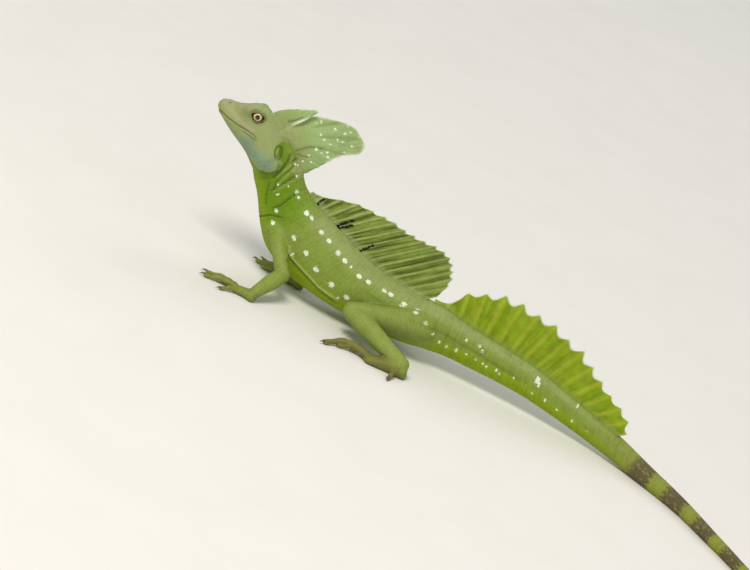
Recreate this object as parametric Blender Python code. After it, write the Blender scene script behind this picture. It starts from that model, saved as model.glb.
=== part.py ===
"""Life-size adult male plumed basilisk, standing on a floor with its head and chest raised.

The lizard faces -X with its left side to -Y, and its hands, feet and tail rest at Z = 0.
Sizes below are millimetres; MM turns them to metres where a mesh is made.
"""

import math

import bmesh
import bpy
import numpy as np
from mathutils import Vector
from mathutils.bvhtree import BVHTree

MM = 0.001
GAP = 0.3  # clear space between neighbouring pieces
ORIGIN_SHIFT = np.array([-132.5, 22.5, 0.0])  # puts the middle of the outline over the origin

# Neck and trunk, front to back: the back's ridge (x, z), the belly's midline (x, z), half width.
TRUNK = (
    ((-152.0, 96.0), (-177.0, 77.0), 10.0),
    ((-142.0, 86.5), (-170.0, 65.0), 11.5),
    ((-137.5, 79.5), (-164.5, 58.0), 11.5),
    ((-133.5, 75.0), (-160.0, 51.0), 11.5),
    ((-128.0, 71.3), (-155.5, 43.0), 12.5),
    ((-121.0, 68.0), (-150.0, 34.5), 14.5),
    ((-113.0, 64.2), (-142.5, 25.5), 16.5),
    ((-105.0, 61.0), (-132.0, 18.5), 18.0),
    ((-96.0, 57.6), (-118.0, 12.6), 19.0),
    ((-84.0, 52.8), (-100.0, 8.8), 19.5),
    ((-70.0, 48.3), (-80.0, 6.6), 19.5),
    ((-54.0, 44.9), (-60.0, 5.4), 19.0),
    ((-38.0, 43.0), (-41.0, 5.2), 18.0),
    ((-23.0, 42.2), (-24.0, 6.6), 16.5),
)
NECK_END = 4  # the trunk starts at this row
# Tail from the vent: distance along it, height, width, underside above the floor, heading in degrees.
TAIL = (
    (0.0, 33.4, 29.0, 9.3, 0.0),
    (13.0, 29.6, 24.0, 11.0, 0.0),
    (30.0, 27.0, 20.5, 11.2, 0.0),
    (50.0, 25.2, 18.5, 11.4, -1.0),
    (75.0, 23.2, 16.8, 11.0, -3.0),
    (100.0, 20.6, 15.2, 8.4, -4.0),
    (125.0, 18.8, 14.0, 5.2, -9.0),
    (150.0, 17.6, 13.2, 2.4, -18.0),
    (180.0, 14.9, 12.0, -0.3, -28.0),
    (215.0, 11.6, 10.2, -0.3, -38.0),
    (260.0, 9.4, 8.8, -0.3, -50.0),
    (310.0, 7.9, 7.5, -0.3, -34.0),
    (370.0, 6.3, 6.0, -0.3, 2.0),
    (440.0, 4.5, 4.4, -0.3, 28.0),
    (510.0, 2.8, 2.8, -0.3, 30.0),
    (545.0, 1.4, 1.4, -0.2, 22.0),
)
TAIL_START = (-9.0, 0.0)
TAIL_CUTS = (152.0, 282.0, 418.0)  # where the tail is divided, along its length
BODY_SIDES = 18
BODY_RING_STEP = 8.0
TAIL_RING_STEP = 11.0
TAIL_SIDES = 12
ROOF = 1.18  # over 1 draws the back in to a ridge
KEEL = 0.82  # under 1 flattens the belly

# Head, snout to nape: top (x, z), bottom (x, z), half width, squareness of the crown.
HEAD = (
    ((-213.9, 102.8), (-212.9, 98.4), 3.0, 0.90),
    ((-213.0, 104.8), (-211.2, 96.3), 4.9, 0.84),
    ((-210.8, 106.2), (-207.8, 93.7), 6.3, 0.78),
    ((-206.8, 107.0), (-203.0, 90.4), 7.4, 0.70),
    ((-202.2, 107.7), (-198.0, 87.3), 8.5, 0.62),
    ((-197.4, 109.4), (-192.7, 84.4), 9.8, 0.54),
    ((-192.0, 111.8), (-187.0, 81.3), 10.9, 0.50),
    ((-186.6, 113.3), (-181.4, 77.8), 11.7, 0.50),
    ((-180.8, 113.0), (-176.2, 73.4), 12.6, 0.60),
    ((-174.2, 110.4), (-171.0, 69.0), 13.8, 0.82),
    ((-167.4, 107.0), (-166.2, 66.2), 14.5, 1.04),
    ((-160.4, 102.4), (-160.8, 66.6), 14.0, 1.20),
    ((-154.0, 96.8), (-155.8, 70.4), 11.8, 1.20),
    ((-149.2, 90.4), (-151.0, 77.4), 7.2, 1.1),
)
HEAD_SIDES = 22
HEAD_RINGS = 22
SNOUT_TIP = (-214.3, 100.6)
HEAD_BACK = (-147.8, 84.6)
WIDEST_LOW = 0.16  # how far below mid height the head is widest, as a share of half its height

EYE = (-184.9, 108.4)  # centre of the eye seen from the side
EYE_DEEP = 8.1  # from the midline to the eyeball's centre
EYEBALL = 4.6
SOCKET = EYEBALL + GAP
LID_RING = (5.0, 3.9)  # half length and half height of the eyelids' rim
LID_TILT = 9.0  # degrees, rear corner up
LID_TUBE = 1.0
LID_OUT = 11.4
BROW_BULGE = 1.6
NOSTRIL = (-207.0, 105.6)
NOSTRIL_SIZE = 0.75
EAR = (-162.2, 92.4)
EAR_SIZE = (2.2, 4.4)
EAR_DEPTH = 1.3
MOUTH = ((-222.0, 100.0), (-213.0, 98.8), (-207.2, 97.6), (-202.5, 96.6), (-198.2, 96.2),
         (-193.1, 96.0), (-188.0, 96.0), (-183.5, 95.6), (-179.8, 94.6))
JAW_REAR = ((-172.0, 89.0), (-166.0, 81.5), (-162.5, 73.0), (-161.5, 50.0))
LIP_TUBE = 0.6
LIP_SINK = 0.2

# Head crest: its outer edge from brow to nape, and the root line sunk in the head.
CREST_EDGE = ((-163.0, 110.6), (-156.8, 118.2), (-150.6, 123.9), (-142.9, 127.0), (-135.0, 129.3),
              (-128.0, 130.7), (-122.1, 130.5), (-118.3, 128.5), (-114.8, 126.0), (-111.6, 123.4),
              (-110.0, 120.7), (-109.8, 117.1), (-111.7, 113.4), (-115.6, 111.6), (-119.6, 109.1),
              (-123.0, 105.7), (-126.7, 101.1), (-130.5, 95.4), (-134.4, 90.0), (-138.2, 84.2))
CREST_ROOT = ((-168.0, 101.0), (-159.0, 97.0), (-152.0, 90.0), (-147.0, 81.0))
CREST_ROOT_THICK = 11.0
CREST_EDGE_THICK = 1.3
CREST_WAVE = 1.2  # how far the crest bends sideways
CREST_GRID = (24, 6)  # points along its edge, and from root to edge
# Small crest in front of it: upper edge root to tip, and lower edge back to the root.
BROW_CREST_TOP = ((-178.6, 110.4), (-174.2, 116.0), (-170.4, 118.8), (-166.2, 121.4), (-161.4, 124.6),
                  (-155.9, 128.2), (-151.6, 130.2), (-148.9, 129.4))
BROW_CREST_LOW = ((-178.0, 106.6), (-173.0, 104.8), (-168.0, 103.6), (-163.2, 106.6), (-159.8, 111.2),
                  (-156.4, 116.6), (-152.6, 122.6), (-149.2, 128.0))
BROW_CREST_ROOT_THICK = 5.0
BROW_CREST_TIP_THICK = 1.3
BROW_CREST_LEAN = 3.6  # how far its tip stands to the left, clear of the big crest
BROW_CREST_GRID = (14, 5)

# Back sail: one ray every step along the ridge, key lengths, and how steeply the rays stand.
SAIL_START, SAIL_END = -129.5, -23.5
SAIL_RAYS = 18
SAIL_LENGTHS = ((0.0, 2.5), (0.05, 6.0), (0.1, 13.0), (0.15, 20.5), (0.2, 26.5), (0.3, 34.4), (0.35, 38.2),
                (0.41, 40.4), (0.47, 42.6), (0.65, 50.2), (0.71, 48.0), (0.77, 44.0), (0.82, 38.4),
                (0.88, 32.0), (0.94, 22.0), (1.0, 8.0))
SAIL_ANGLES = ((0.0, 58.0), (0.12, 52.0), (0.25, 43.0), (0.4, 40.0), (0.6, 41.0), (1.0, 40.0))
SAIL_SCALLOP = 0.05  # how far the membrane dips between rays, as a share of its length
SAIL_SWAY = 1.6
# Tail sail, the same way, along the tail from its vent.
FIN_START, FIN_END = -8.6, 150.0
FIN_RAYS = 16
FIN_LENGTHS = ((0.0, 2.0), (0.07, 5.5), (0.13, 19.0), (0.2, 27.0), (0.27, 33.0), (0.4, 35.0), (0.47, 35.4),
               (0.53, 33.0), (0.6, 32.0), (0.73, 25.6), (0.8, 22.4), (0.87, 20.4), (0.93, 16.0), (1.0, 6.0))
FIN_ANGLES = ((0.0, 109.0), (1.0, 36.0))
FIN_SCALLOP = 0.13
FIN_SWAY = 1.2
SHEET_ROOT_THICK = 2.6
SHEET_EDGE_THICK = 0.7
RAY_RIDGE = 0.9  # extra thickness along each ray
SHEET_SINK = 3.0  # how far a sail's root goes into the back before it is cut to fit
TRUNK_REACH = 60.0  # how far down the tail the limbs and the back sail are cut to fit
FIN_REACH = 175.0  # and the tail sail
SHEET_ROWS = 3
COLUMNS_PER_RAY = 4

# Limbs: joints (x, y, z) on the lizard's left (-Y) and right (+Y), and radii at root, belly and end.
LEFT_ARM = ((-138.6, -9.0, 41.0), (-120.6, -29.5, 19.6), (-132.5, -51.0, 5.6))
RIGHT_ARM = ((-132.0, 9.0, 40.0), (-101.0, 34.0, 29.0), (-108.0, 16.0, 5.6))
LEFT_LEG = ((-17.0, -8.0, 26.0), (-66.0, -29.5, 19.4), (-19.0, -52.5, 9.0))
RIGHT_LEG = ((-17.0, 8.0, 26.0), (-62.0, 36.0, 19.4), (-14.0, 54.0, 9.0))
UPPER_ARM_RADII = (7.4, 6.1, 5.2, 5.0)
FOREARM_RADII = (5.3, 5.9, 4.9, 3.9)
THIGH_RADII = (12.0, 11.2, 8.8, 7.0)
SHIN_RADII = (6.8, 7.4, 6.2, 5.6)
LIMB_SIDES = 12
LIMB_RINGS = 6

# Hands and feet: digit as (turn outwards from the hand's line in degrees, root share, length, radius,
# height of its arch, how far it bows inwards).
HAND_HEADING = {"left": 164.0, "right": 166.0}  # degrees from +X
FOOT_HEADING = {"left": 183.0, "right": 160.0}
FINGERS = (
    (-24.0, 0.5, 9.5, 1.6, 1.2, 0.0),
    (-8.0, 0.84, 19.0, 1.6, 2.0, 0.5),
    (3.0, 0.95, 24.5, 1.7, 2.4, 1.2),
    (17.0, 0.9, 24.0, 1.7, 2.4, 1.5),
    (44.0, 0.6, 15.0, 1.5, 1.8, 1.5),
)
TOES = (
    (-24.0, 0.66, 9.0, 1.7, 1.6, 0.0),
    (-10.0, 0.86, 15.0, 1.8, 2.6, 1.5),
    (0.0, 0.96, 22.0, 1.9, 3.4, 3.0),
    (9.0, 1.0, 31.0, 2.0, 4.2, 6.0),
    (78.0, 0.1, 12.0, 1.7, 1.6, 0.0),
)
PALM = (12.5, 5.2, 3.2)  # length, half width, half thickness
SOLE = (24.0, 5.8, 4.2)
CLAW = 4.6
DIGIT_SIDES = 6
DIGIT_RINGS = 6
PALM_SIDES = 10

COLOURS = {
    "skin_green": ((0.30, 0.40, 0.10, 1.0), 0.55),
    "skin_pale": ((0.42, 0.50, 0.22, 1.0), 0.5),
    "sail_green": ((0.34, 0.44, 0.14, 1.0), 0.5),
    "tail_green": ((0.26, 0.32, 0.08, 1.0), 0.55),
    "toe_olive": ((0.20, 0.19, 0.07, 1.0), 0.6),
    "eye_gold": ((0.75, 0.55, 0.18, 1.0), 0.12),
}


def clear_scene():
    for obj in list(bpy.data.objects):
        bpy.data.objects.remove(obj)


def new_collection(name):
    made = bpy.data.collections.new(name)
    bpy.context.scene.collection.children.link(made)
    return made


def material(name):
    """Principled BSDF for one of the named finishes."""
    found = bpy.data.materials.get(name)
    if found:
        return found
    colour, roughness = COLOURS[name]
    made = bpy.data.materials.new(name)
    made.use_nodes = True
    shader = made.node_tree.nodes["Principled BSDF"]
    shader.inputs["Base Color"].default_value = colour
    shader.inputs["Roughness"].default_value = roughness
    made.diffuse_color = colour
    return made


def through(knots, values, at):
    """Smooth curve through (knots, values), read at the given places; slopes keep it from overshooting."""
    knots, values, at = (np.asarray(a, float) for a in (knots, values, at))
    step = np.diff(knots)
    rise = np.diff(values, axis=0) / step.reshape(-1, *([1] * (values.ndim - 1)))
    slope = np.empty_like(values)
    slope[0], slope[-1] = rise[0], rise[-1]
    slope[1:-1] = (rise[:-1] + rise[1:]) / 2
    i = np.clip(np.searchsorted(knots, at, side="right") - 1, 0, len(step) - 1)
    t = (at - knots[i]) / step[i]
    shape = (-1, *([1] * (values.ndim - 1)))
    t, width = t.reshape(shape), step[i].reshape(shape)
    h00, h10 = 2 * t**3 - 3 * t**2 + 1, t**3 - 2 * t**2 + t
    h01, h11 = 3 * t**2 - 2 * t**3, t**3 - t**2
    return h00 * values[i] + h10 * width * slope[i] + h01 * values[i + 1] + h11 * width * slope[i + 1]


def run_length(points):
    """Distance along a run of points, from its first."""
    return np.concatenate([[0.0], np.cumsum(np.linalg.norm(np.diff(points, axis=0), axis=1))])


def flat_bottomed(sides):
    """Angles round a section whose lowest side lies flat, and how far that side is from the middle."""
    step = 2 * math.pi / sides
    return np.arange(sides) * step - math.pi / 2 + step / 2, math.cos(step / 2)


def bumps(distance, width):
    """1 at no distance, falling smoothly to nearly 0 beyond the width."""
    return np.exp(-((distance / width) ** 2))


def put_mesh(name, points, faces, finish, collection):
    """An object from points in millimetres."""
    mesh = bpy.data.meshes.new(name)
    places = (np.asarray(points, float).reshape(-1, 3) + ORIGIN_SHIFT) * MM
    mesh.from_pydata(places.tolist(), [], [list(map(int, face)) for face in faces])
    mesh.update()
    mesh.materials.append(material(finish))
    obj = bpy.data.objects.new(name, mesh)
    collection.objects.link(obj)
    return obj


def loft(name, rings, finish, collection):
    """Closed skin over rings of equally many points, with a fan to a middle point at both ends."""
    rings = np.asarray(rings, float)
    count, sides = rings.shape[:2]
    points = np.concatenate([rings.reshape(-1, 3), [rings[0].mean(0)], [rings[-1].mean(0)]])
    first, last = count * sides, count * sides + 1
    faces = []
    for i in range(count - 1):
        for j in range(sides):
            k = (j + 1) % sides
            a, b, c, d = i * sides + j, i * sides + k, (i + 1) * sides + k, (i + 1) * sides + j
            faces += [(a, b, c), (a, c, d)]
    for j in range(sides):
        k = (j + 1) % sides
        faces.append((first, k, j))
        faces.append((last, (count - 1) * sides + j, (count - 1) * sides + k))
    obj = put_mesh(name, points, faces, finish, collection)
    face_out(obj.data)
    obj.data.shade_smooth()
    return obj


def face_out(mesh):
    """Turns a closed mesh's faces to point out."""
    work = bmesh.new()
    work.from_mesh(mesh)
    bmesh.ops.recalc_face_normals(work, faces=work.faces)
    if work.calc_volume(signed=True) < 0:
        bmesh.ops.reverse_faces(work, faces=work.faces)
    work.to_mesh(mesh)
    work.free()


def keep_largest(mesh):
    """Leaves only the mesh's largest closed surface."""
    work = bmesh.new()
    work.from_mesh(mesh)
    work.verts.ensure_lookup_table()
    seen, groups = set(), []
    for vertex in work.verts:
        if vertex.index in seen:
            continue
        seen.add(vertex.index)
        group, front = [vertex], [vertex]
        while front:
            here = front.pop()
            for edge in here.link_edges:
                other = edge.other_vert(here)
                if other.index not in seen:
                    seen.add(other.index)
                    group.append(other)
                    front.append(other)
        groups.append(group)
    groups.sort(key=lambda group: max((v.co - group[0].co).length for v in group))
    spare = [vertex for group in groups[:-1] for vertex in group]
    bmesh.ops.delete(work, geom=spare, context="VERTS")
    work.to_mesh(mesh)
    work.free()


def apply_modifiers(obj):
    """Keeps the evaluated shape as the object's own mesh."""
    bpy.context.view_layer.update()
    graph = bpy.context.evaluated_depsgraph_get()
    done = bpy.data.meshes.new_from_object(obj.evaluated_get(graph))
    old = obj.data
    obj.modifiers.clear()
    obj.data = done
    done.name = obj.name
    bpy.data.meshes.remove(old)
    keep_largest(obj.data)


def combine(obj, others, operation, solver="EXACT"):
    """Boolean of the object with closed meshes, applied, with the other objects removed."""
    group = bpy.data.collections.new("operands")
    bpy.context.scene.collection.children.link(group)
    for other in others:
        for holder in list(other.users_collection):
            holder.objects.unlink(other)
        group.objects.link(other)
        other.hide_render = True
        other.display_type = "WIRE"
    boolean = obj.modifiers.new(operation.lower(), "BOOLEAN")
    boolean.operation = operation
    boolean.solver = solver
    boolean.operand_type = "COLLECTION"
    boolean.collection = group
    apply_modifiers(obj)
    for other in list(group.objects):
        bpy.data.objects.remove(other)
    bpy.data.collections.remove(group)
    return obj


def body_frame():
    """Reach along neck, trunk and tail, with rows of middle, up, side, half height and half width."""
    middles, ups, sides, highs, wides = [], [], [], [], []
    for back, belly, wide in TRUNK:
        back, belly = np.array([back[0], 0, back[1]]), np.array([belly[0], 0, belly[1]])
        middles.append((back + belly) / 2)
        ups.append((back - belly) / np.linalg.norm(back - belly))
        sides.append((0.0, 1.0, 0.0))
        highs.append(np.linalg.norm(back - belly) / 2)
        wides.append(wide)
    along = np.array([row[0] for row in TAIL])
    steps = np.linspace(0, along[-1], 546)
    heading = np.radians(through(along, [row[4] for row in TAIL], steps))
    stride = steps[1] - steps[0]
    east = TAIL_START[0] + np.concatenate([[0], np.cumsum(np.cos(heading[:-1]))]) * stride
    north = TAIL_START[1] + np.concatenate([[0], np.cumsum(np.sin(heading[:-1]))]) * stride
    for far, high, wide, low, turn in TAIL:
        x, y = np.interp(far, steps, east), np.interp(far, steps, north)
        middles.append(np.array([x, y, low + high / 2]))
        ups.append(np.array([0.0, 0.0, 1.0]))
        sides.append((-math.sin(math.radians(turn)), math.cos(math.radians(turn)), 0.0))
        highs.append(high / 2)
        wides.append(wide / 2)
    reach = run_length(np.array(middles))
    return reach, np.column_stack([middles, ups, sides, highs, wides])


REACH, ROWS = body_frame()
TAIL_REACH = REACH[len(TRUNK)]


def body_rings(places, sides, grow=0.0):
    """Rings round the body at distances along it; each is a rounded section with a ridged back."""
    rows = through(REACH, ROWS, places)
    angle = np.arange(sides) / sides * 2 * math.pi
    up, across = np.cos(angle), np.sin(angle)
    lift = np.where(up > 0, np.abs(up) ** ROOF, -np.abs(up) ** KEEL)
    tail = np.clip((np.asarray(places) - TAIL_REACH) / 40.0, 0, 1)[:, None]
    lift = lift * (1 - tail) + up * tail
    middle, upward, sideways = rows[:, None, 0:3], rows[:, None, 3:6], rows[:, None, 6:9]
    high, wide = rows[:, None, 9:10] + grow, rows[:, None, 10:11] + grow
    rings = middle + upward * high * lift[:, :, None] + sideways * wide * across[None, :, None]
    rings[:, :, 2] = np.maximum(rings[:, :, 2], -grow)
    return rings


def body_length(name, start, end, step, sides, finish, collection, grow=0.0):
    """One length of the body between two distances along it."""
    count = max(2, round((end - start) / step) + 1)
    places = np.linspace(start, end, count)
    return loft(name, body_rings(places, sides, grow), finish, collection)


def ridge_point(place):
    """Top of the back at a distance along the body."""
    rows = through(REACH, ROWS, place)
    return rows[:, 0:3] + rows[:, 3:6] * rows[:, 9:10]


def head_rings(grow=0.0):
    """Rings from snout to nape: flat crown, upright cheeks, brows that bulge over the eyes."""
    tops = np.array([row[0] for row in HEAD])
    lows = np.array([row[1] for row in HEAD])
    widths = np.array([row[2] for row in HEAD])
    square = np.array([row[3] for row in HEAD])
    knots = run_length((tops + lows) / 2)
    table = np.column_stack([tops, lows, widths, square])
    rows = through(knots, table, np.linspace(0, knots[-1], HEAD_RINGS))
    angle = np.arange(HEAD_SIDES) / HEAD_SIDES * 2 * math.pi
    top = np.column_stack([rows[:, 0], np.zeros(HEAD_RINGS), rows[:, 1]])
    low = np.column_stack([rows[:, 2], np.zeros(HEAD_RINGS), rows[:, 3]])
    middle, half = (top + low) / 2, (top - low) / 2
    size = np.linalg.norm(half, axis=1, keepdims=True)
    upward = half / size
    size, wide, flat = size + grow, rows[:, 4:5] + grow, rows[:, 5:6]
    across, up = np.sin(angle)[None, :], np.cos(angle)[None, :]
    lift = np.sign(up) * np.abs(up) ** np.where(up > 0, flat, 0.95)
    spread = np.sign(across) * np.abs(across) ** np.where(up > 0, 0.5 + 0.5 * flat, 0.95)
    lean = 1 - 0.16 * np.clip(up, 0, 1) ** 2
    lift = lift - WIDEST_LOW * across**2 * (1 - np.abs(up))
    points = middle[:, None] + upward[:, None] * (size * lift)[:, :, None]
    points[:, :, 1] += wide * spread * lean
    return shape_head(points)


def shape_head(points):
    """Pushes head points sideways for brows, cheeks and the hollow in front of the eye."""
    x, z = points[..., 0], points[..., 2]
    side = np.sign(points[..., 1]) * np.clip(np.abs(points[..., 1]) / 5.0, 0, 1)
    brow = bumps(np.hypot((x - EYE[0] + 1.0) / 1.8, z - EYE[1] - 4.4), 3.6)
    hollow = bumps(np.hypot((x - EYE[0] + 11.0) / 1.5, z - EYE[1] + 4.0), 4.6)
    jowl = bumps(np.hypot((x + 166.0) / 1.3, z - 80.0), 9.0)
    points[..., 1] += side * (BROW_BULGE * brow - 0.9 * hollow + 1.5 * jowl)
    return points


def head_solid(name, collection, grow=0.0):
    tip = np.array([SNOUT_TIP[0] - grow, 0.0, SNOUT_TIP[1]])
    back = np.array([HEAD_BACK[0] + grow, 0.0, HEAD_BACK[1]])
    rings = head_rings(grow)
    obj = loft(name, rings, "skin_pale", collection)
    for index, place in ((-2, tip), (-1, back)):
        obj.data.vertices[len(obj.data.vertices) + index].co = Vector((place + ORIGIN_SHIFT) * MM)
    return obj


def mouth_prism(name, collection, lift):
    """Everything below the line of the mouth and in front of the jaw's angle, raised by lift."""
    line = [(x, z + lift) for x, z in MOUTH] + [(x + lift, z + lift) for x, z in JAW_REAR]
    line += [(MOUTH[0][0], 50.0)]
    work = bmesh.new()
    corners = [work.verts.new(Vector((np.array([x, -40.0, z]) + ORIGIN_SHIFT) * MM)) for x, z in line]
    outline = work.faces.new(corners)
    pulled = bmesh.ops.extrude_face_region(work, geom=[outline])["geom"]
    moved = [item for item in pulled if isinstance(item, bmesh.types.BMVert)]
    bmesh.ops.translate(work, verts=moved, vec=(0.0, 80.0 * MM, 0.0))
    return from_bmesh(name, work, "skin_pale", collection)


def from_bmesh(name, work, finish, collection):
    """An object from a working mesh, which is used up."""
    mesh = bpy.data.meshes.new(name)
    work.to_mesh(mesh)
    work.free()
    face_out(mesh)
    mesh.materials.append(material(finish))
    mesh.shade_smooth()
    obj = bpy.data.objects.new(name, mesh)
    collection.objects.link(obj)
    return obj


def ellipsoid(name, centre, radii, finish, collection, segments=16, rings=10):
    """Ball stretched along the axes, its poles at the sides."""
    work = bmesh.new()
    bmesh.ops.create_uvsphere(work, u_segments=segments, v_segments=rings, radius=1.0)
    for vertex in work.verts:
        x, y, z = vertex.co
        place = np.array([x * radii[0], z * radii[1], -y * radii[2]]) + centre
        vertex.co = Vector((place + ORIGIN_SHIFT) * MM)
    return from_bmesh(name, work, finish, collection)


def tube(name, path, radius, finish, collection, closed=False):
    """Round tube along a path in millimetres, its ends capped unless it is closed."""
    curve = bpy.data.curves.new(name, "CURVE")
    curve.dimensions = "3D"
    curve.bevel_depth = radius * MM
    curve.bevel_resolution = 1
    curve.use_fill_caps = not closed
    spline = curve.splines.new("POLY")
    spline.points.add(len(path) - 1)
    for point, place in zip(spline.points, path):
        point.co = (*((np.asarray(place) + ORIGIN_SHIFT) * MM), 1.0)
    spline.use_cyclic_u = closed
    guide = bpy.data.objects.new(name, curve)
    collection.objects.link(guide)
    bpy.context.view_layer.update()
    graph = bpy.context.evaluated_depsgraph_get()
    mesh = bpy.data.meshes.new_from_object(guide.evaluated_get(graph))
    work = bmesh.new()
    work.from_mesh(mesh)
    bmesh.ops.remove_doubles(work, verts=work.verts, dist=0.00001)
    bpy.data.meshes.remove(mesh)
    bpy.data.objects.remove(guide)
    bpy.data.curves.remove(curve)
    return from_bmesh(name, work, finish, collection)


def lid_rim(side, collection):
    """Rim of the eyelids: an oval ring round the eye, drawn out a little at its front corner."""
    angle = np.linspace(0, 2 * math.pi, 16, endpoint=False)
    stretch = 1 + 0.14 * bumps(np.abs(angle - math.pi), 0.6)
    along = LID_RING[0] * np.cos(angle) * stretch
    above = LID_RING[1] * np.sin(angle)
    tilt = math.radians(LID_TILT)
    x = EYE[0] + along * math.cos(tilt) - above * math.sin(tilt)
    z = EYE[1] + along * math.sin(tilt) + above * math.cos(tilt)
    out = LID_OUT - 0.03 * along**2 + 0.06 * along
    path = np.column_stack([x, side * out, z])
    return tube("lid_rim", path, LID_TUBE, "skin_pale", collection, closed=True)


def surface_tree(obj):
    """Search tree over an object's faces."""
    work = bmesh.new()
    work.from_mesh(obj.data)
    tree = BVHTree.FromBMesh(work)
    work.free()
    return tree


def touch(tree, start, toward):
    """First place on a surface from a point in a direction, in millimetres."""
    start = (np.asarray(start, float) + ORIGIN_SHIFT) * MM
    return np.array(tree.ray_cast(Vector(start), Vector(toward))[0]) / MM - ORIGIN_SHIFT


def lip_tube(head, drop, collection):
    """Raised lip along the mouth, from one corner round the snout to the other."""
    tree = surface_tree(head)
    axis = np.array([-192.0, 0.0])
    line = np.array(MOUTH)
    places = []
    for turn in np.linspace(-126.0, 126.0, 19):
        toward = np.array([-math.cos(math.radians(turn)), -math.sin(math.radians(turn))])
        z = MOUTH[2][1]
        for _ in range(3):
            place = touch(tree, (*(axis + toward * 60.0), z + drop), (*(-toward), 0.0))
            z = np.interp(place[0], line[:, 0], line[:, 1])
        sink = LIP_SINK if abs(turn) < 120 else 1.2
        places.append(place - np.array([*toward, 0.0]) * sink)
    return tube("lip", places, LIP_TUBE, "skin_pale", collection)


def make_head(collection):
    """Skull and lower jaw parted along the mouth, with sockets, lids, lips, nostrils and ear cups."""
    skull = head_solid("head", collection)
    tree = surface_tree(skull)
    additions = [lid_rim(side, collection) for side in (-1, 1)]
    additions.append(lip_tube(skull, LIP_TUBE + 0.55, collection))
    additions.append(lip_tube(skull, -LIP_TUBE - 0.35, collection))
    combine(skull, additions, "UNION", "MANIFOLD")
    cuts = []
    for side in (-1, 1):
        cuts.append(ellipsoid("socket", (EYE[0], side * EYE_DEEP, EYE[1]), [SOCKET] * 3, "skin_pale",
                              collection, 16, 10))
        ear = touch(tree, (EAR[0], side * 40.0, EAR[1]), (0.0, -side, 0.0)) + (0.0, side * 0.8, 0.0)
        cuts.append(ellipsoid("ear_cup", ear, (EAR_SIZE[0], EAR_DEPTH + 1.0, EAR_SIZE[1]), "skin_pale",
                              collection, 12, 6))
        nostril = touch(tree, (NOSTRIL[0], side * 40.0, NOSTRIL[1]), (0.0, -side, 0.0))
        cuts.append(ellipsoid("nostril", nostril, (NOSTRIL_SIZE, 1.8, NOSTRIL_SIZE), "skin_pale",
                              collection, 8, 6))
    combine(skull, cuts, "DIFFERENCE", "MANIFOLD")
    jaw = bpy.data.objects.new("jaw", skull.data.copy())
    collection.objects.link(jaw)
    combine(jaw, [mouth_prism("below_mouth", collection, 0.0)], "INTERSECT", "MANIFOLD")
    combine(skull, [mouth_prism("below_mouth", collection, GAP)], "DIFFERENCE", "MANIFOLD")
    for side, name in ((-1, "eye_left"), (1, "eye_right")):
        ellipsoid(name, (EYE[0], side * EYE_DEEP, EYE[1]), [EYEBALL] * 3, "eye_gold", collection, 16, 10)


def sheet(name, middle, half_thick, finish, collection):
    """Thin closed sheet: a grid of middle points, thickened to both sides, split alike on both faces."""
    columns, rows = middle.shape[:2]
    normal = np.cross(np.gradient(middle, axis=0), np.gradient(middle, axis=1))
    normal /= np.maximum(np.linalg.norm(normal, axis=2, keepdims=True), 1e-9)
    points = np.concatenate([(middle + normal * half_thick[..., None]).reshape(-1, 3),
                             (middle - normal * half_thick[..., None]).reshape(-1, 3)])
    other = columns * rows
    faces = []
    for i in range(columns - 1):
        for j in range(rows - 1):
            a, b = i * rows + j, (i + 1) * rows + j
            faces += [(a, b, b + 1), (a, b + 1, a + 1)]
            faces += [(other + a, other + b + 1, other + b), (other + a, other + a + 1, other + b + 1)]
    rim = [i * rows for i in range(columns)]
    rim += [(columns - 1) * rows + j for j in range(1, rows)]
    rim += [i * rows + rows - 1 for i in range(columns - 2, -1, -1)]
    rim += [j for j in range(rows - 2, 0, -1)]
    for here, following in zip(rim, rim[1:] + rim[:1]):
        faces += [(here, other + here, other + following), (here, other + following, following)]
    obj = put_mesh(name, points, faces, finish, collection)
    face_out(obj.data)
    obj.data.shade_smooth()
    return obj


def ray_sail(name, start, end, rays, lengths, angles, scallop, sway, collection):
    """Sail on the back: rays from the ridge, a membrane scalloped between their tips.

    start and end are distances along the body. Thickness is greatest on each ray and at the root.
    """
    columns = (rays - 1) * COLUMNS_PER_RAY + 1
    share = np.linspace(0, 1, columns)
    place = start + (end - start) * share
    root = ridge_point(place)
    rows = through(REACH, ROWS, place)
    upward, sideways = rows[:, 3:6], rows[:, 6:9]
    backward = np.cross(sideways, np.array([0.0, 0.0, 1.0]))
    long = through([k for k, _ in lengths], [v for _, v in lengths], share)
    on_ray = share * (rays - 1) % 1.0
    dip = np.sin(math.pi * on_ray) ** 1.2
    long = long * (1 - scallop * dip)
    lean = np.radians(np.interp(share, [a for a, _ in angles], [b for _, b in angles]))[:, None]
    toward = backward * np.cos(lean) + np.array([0.0, 0.0, 1.0]) * np.sin(lean)
    out = np.linspace(0, 1, SHEET_ROWS)
    middle = root[:, None] + toward[:, None] * (long[:, None] * out[None])[..., None]
    middle[:, 0] = root - upward * SHEET_SINK + toward * 0.6
    wave = sway * np.sin(share * 9.0)[:, None] * out[None] ** 2
    wave += 0.35 * np.cos(share * (rays - 1) * 2 * math.pi)[:, None] * out[None] ** 0.7
    middle += sideways[:, None] * wave[..., None]
    ridge = RAY_RIDGE * np.exp(-((np.minimum(on_ray, 1 - on_ray) / 0.16) ** 2))[:, None]
    thick = SHEET_ROOT_THICK * (1 - out[None]) + SHEET_EDGE_THICK * out[None]
    thick = thick + ridge * (1 - 0.55 * out[None])
    return sheet(name, middle, thick / 2, "sail_green", collection)


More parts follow.
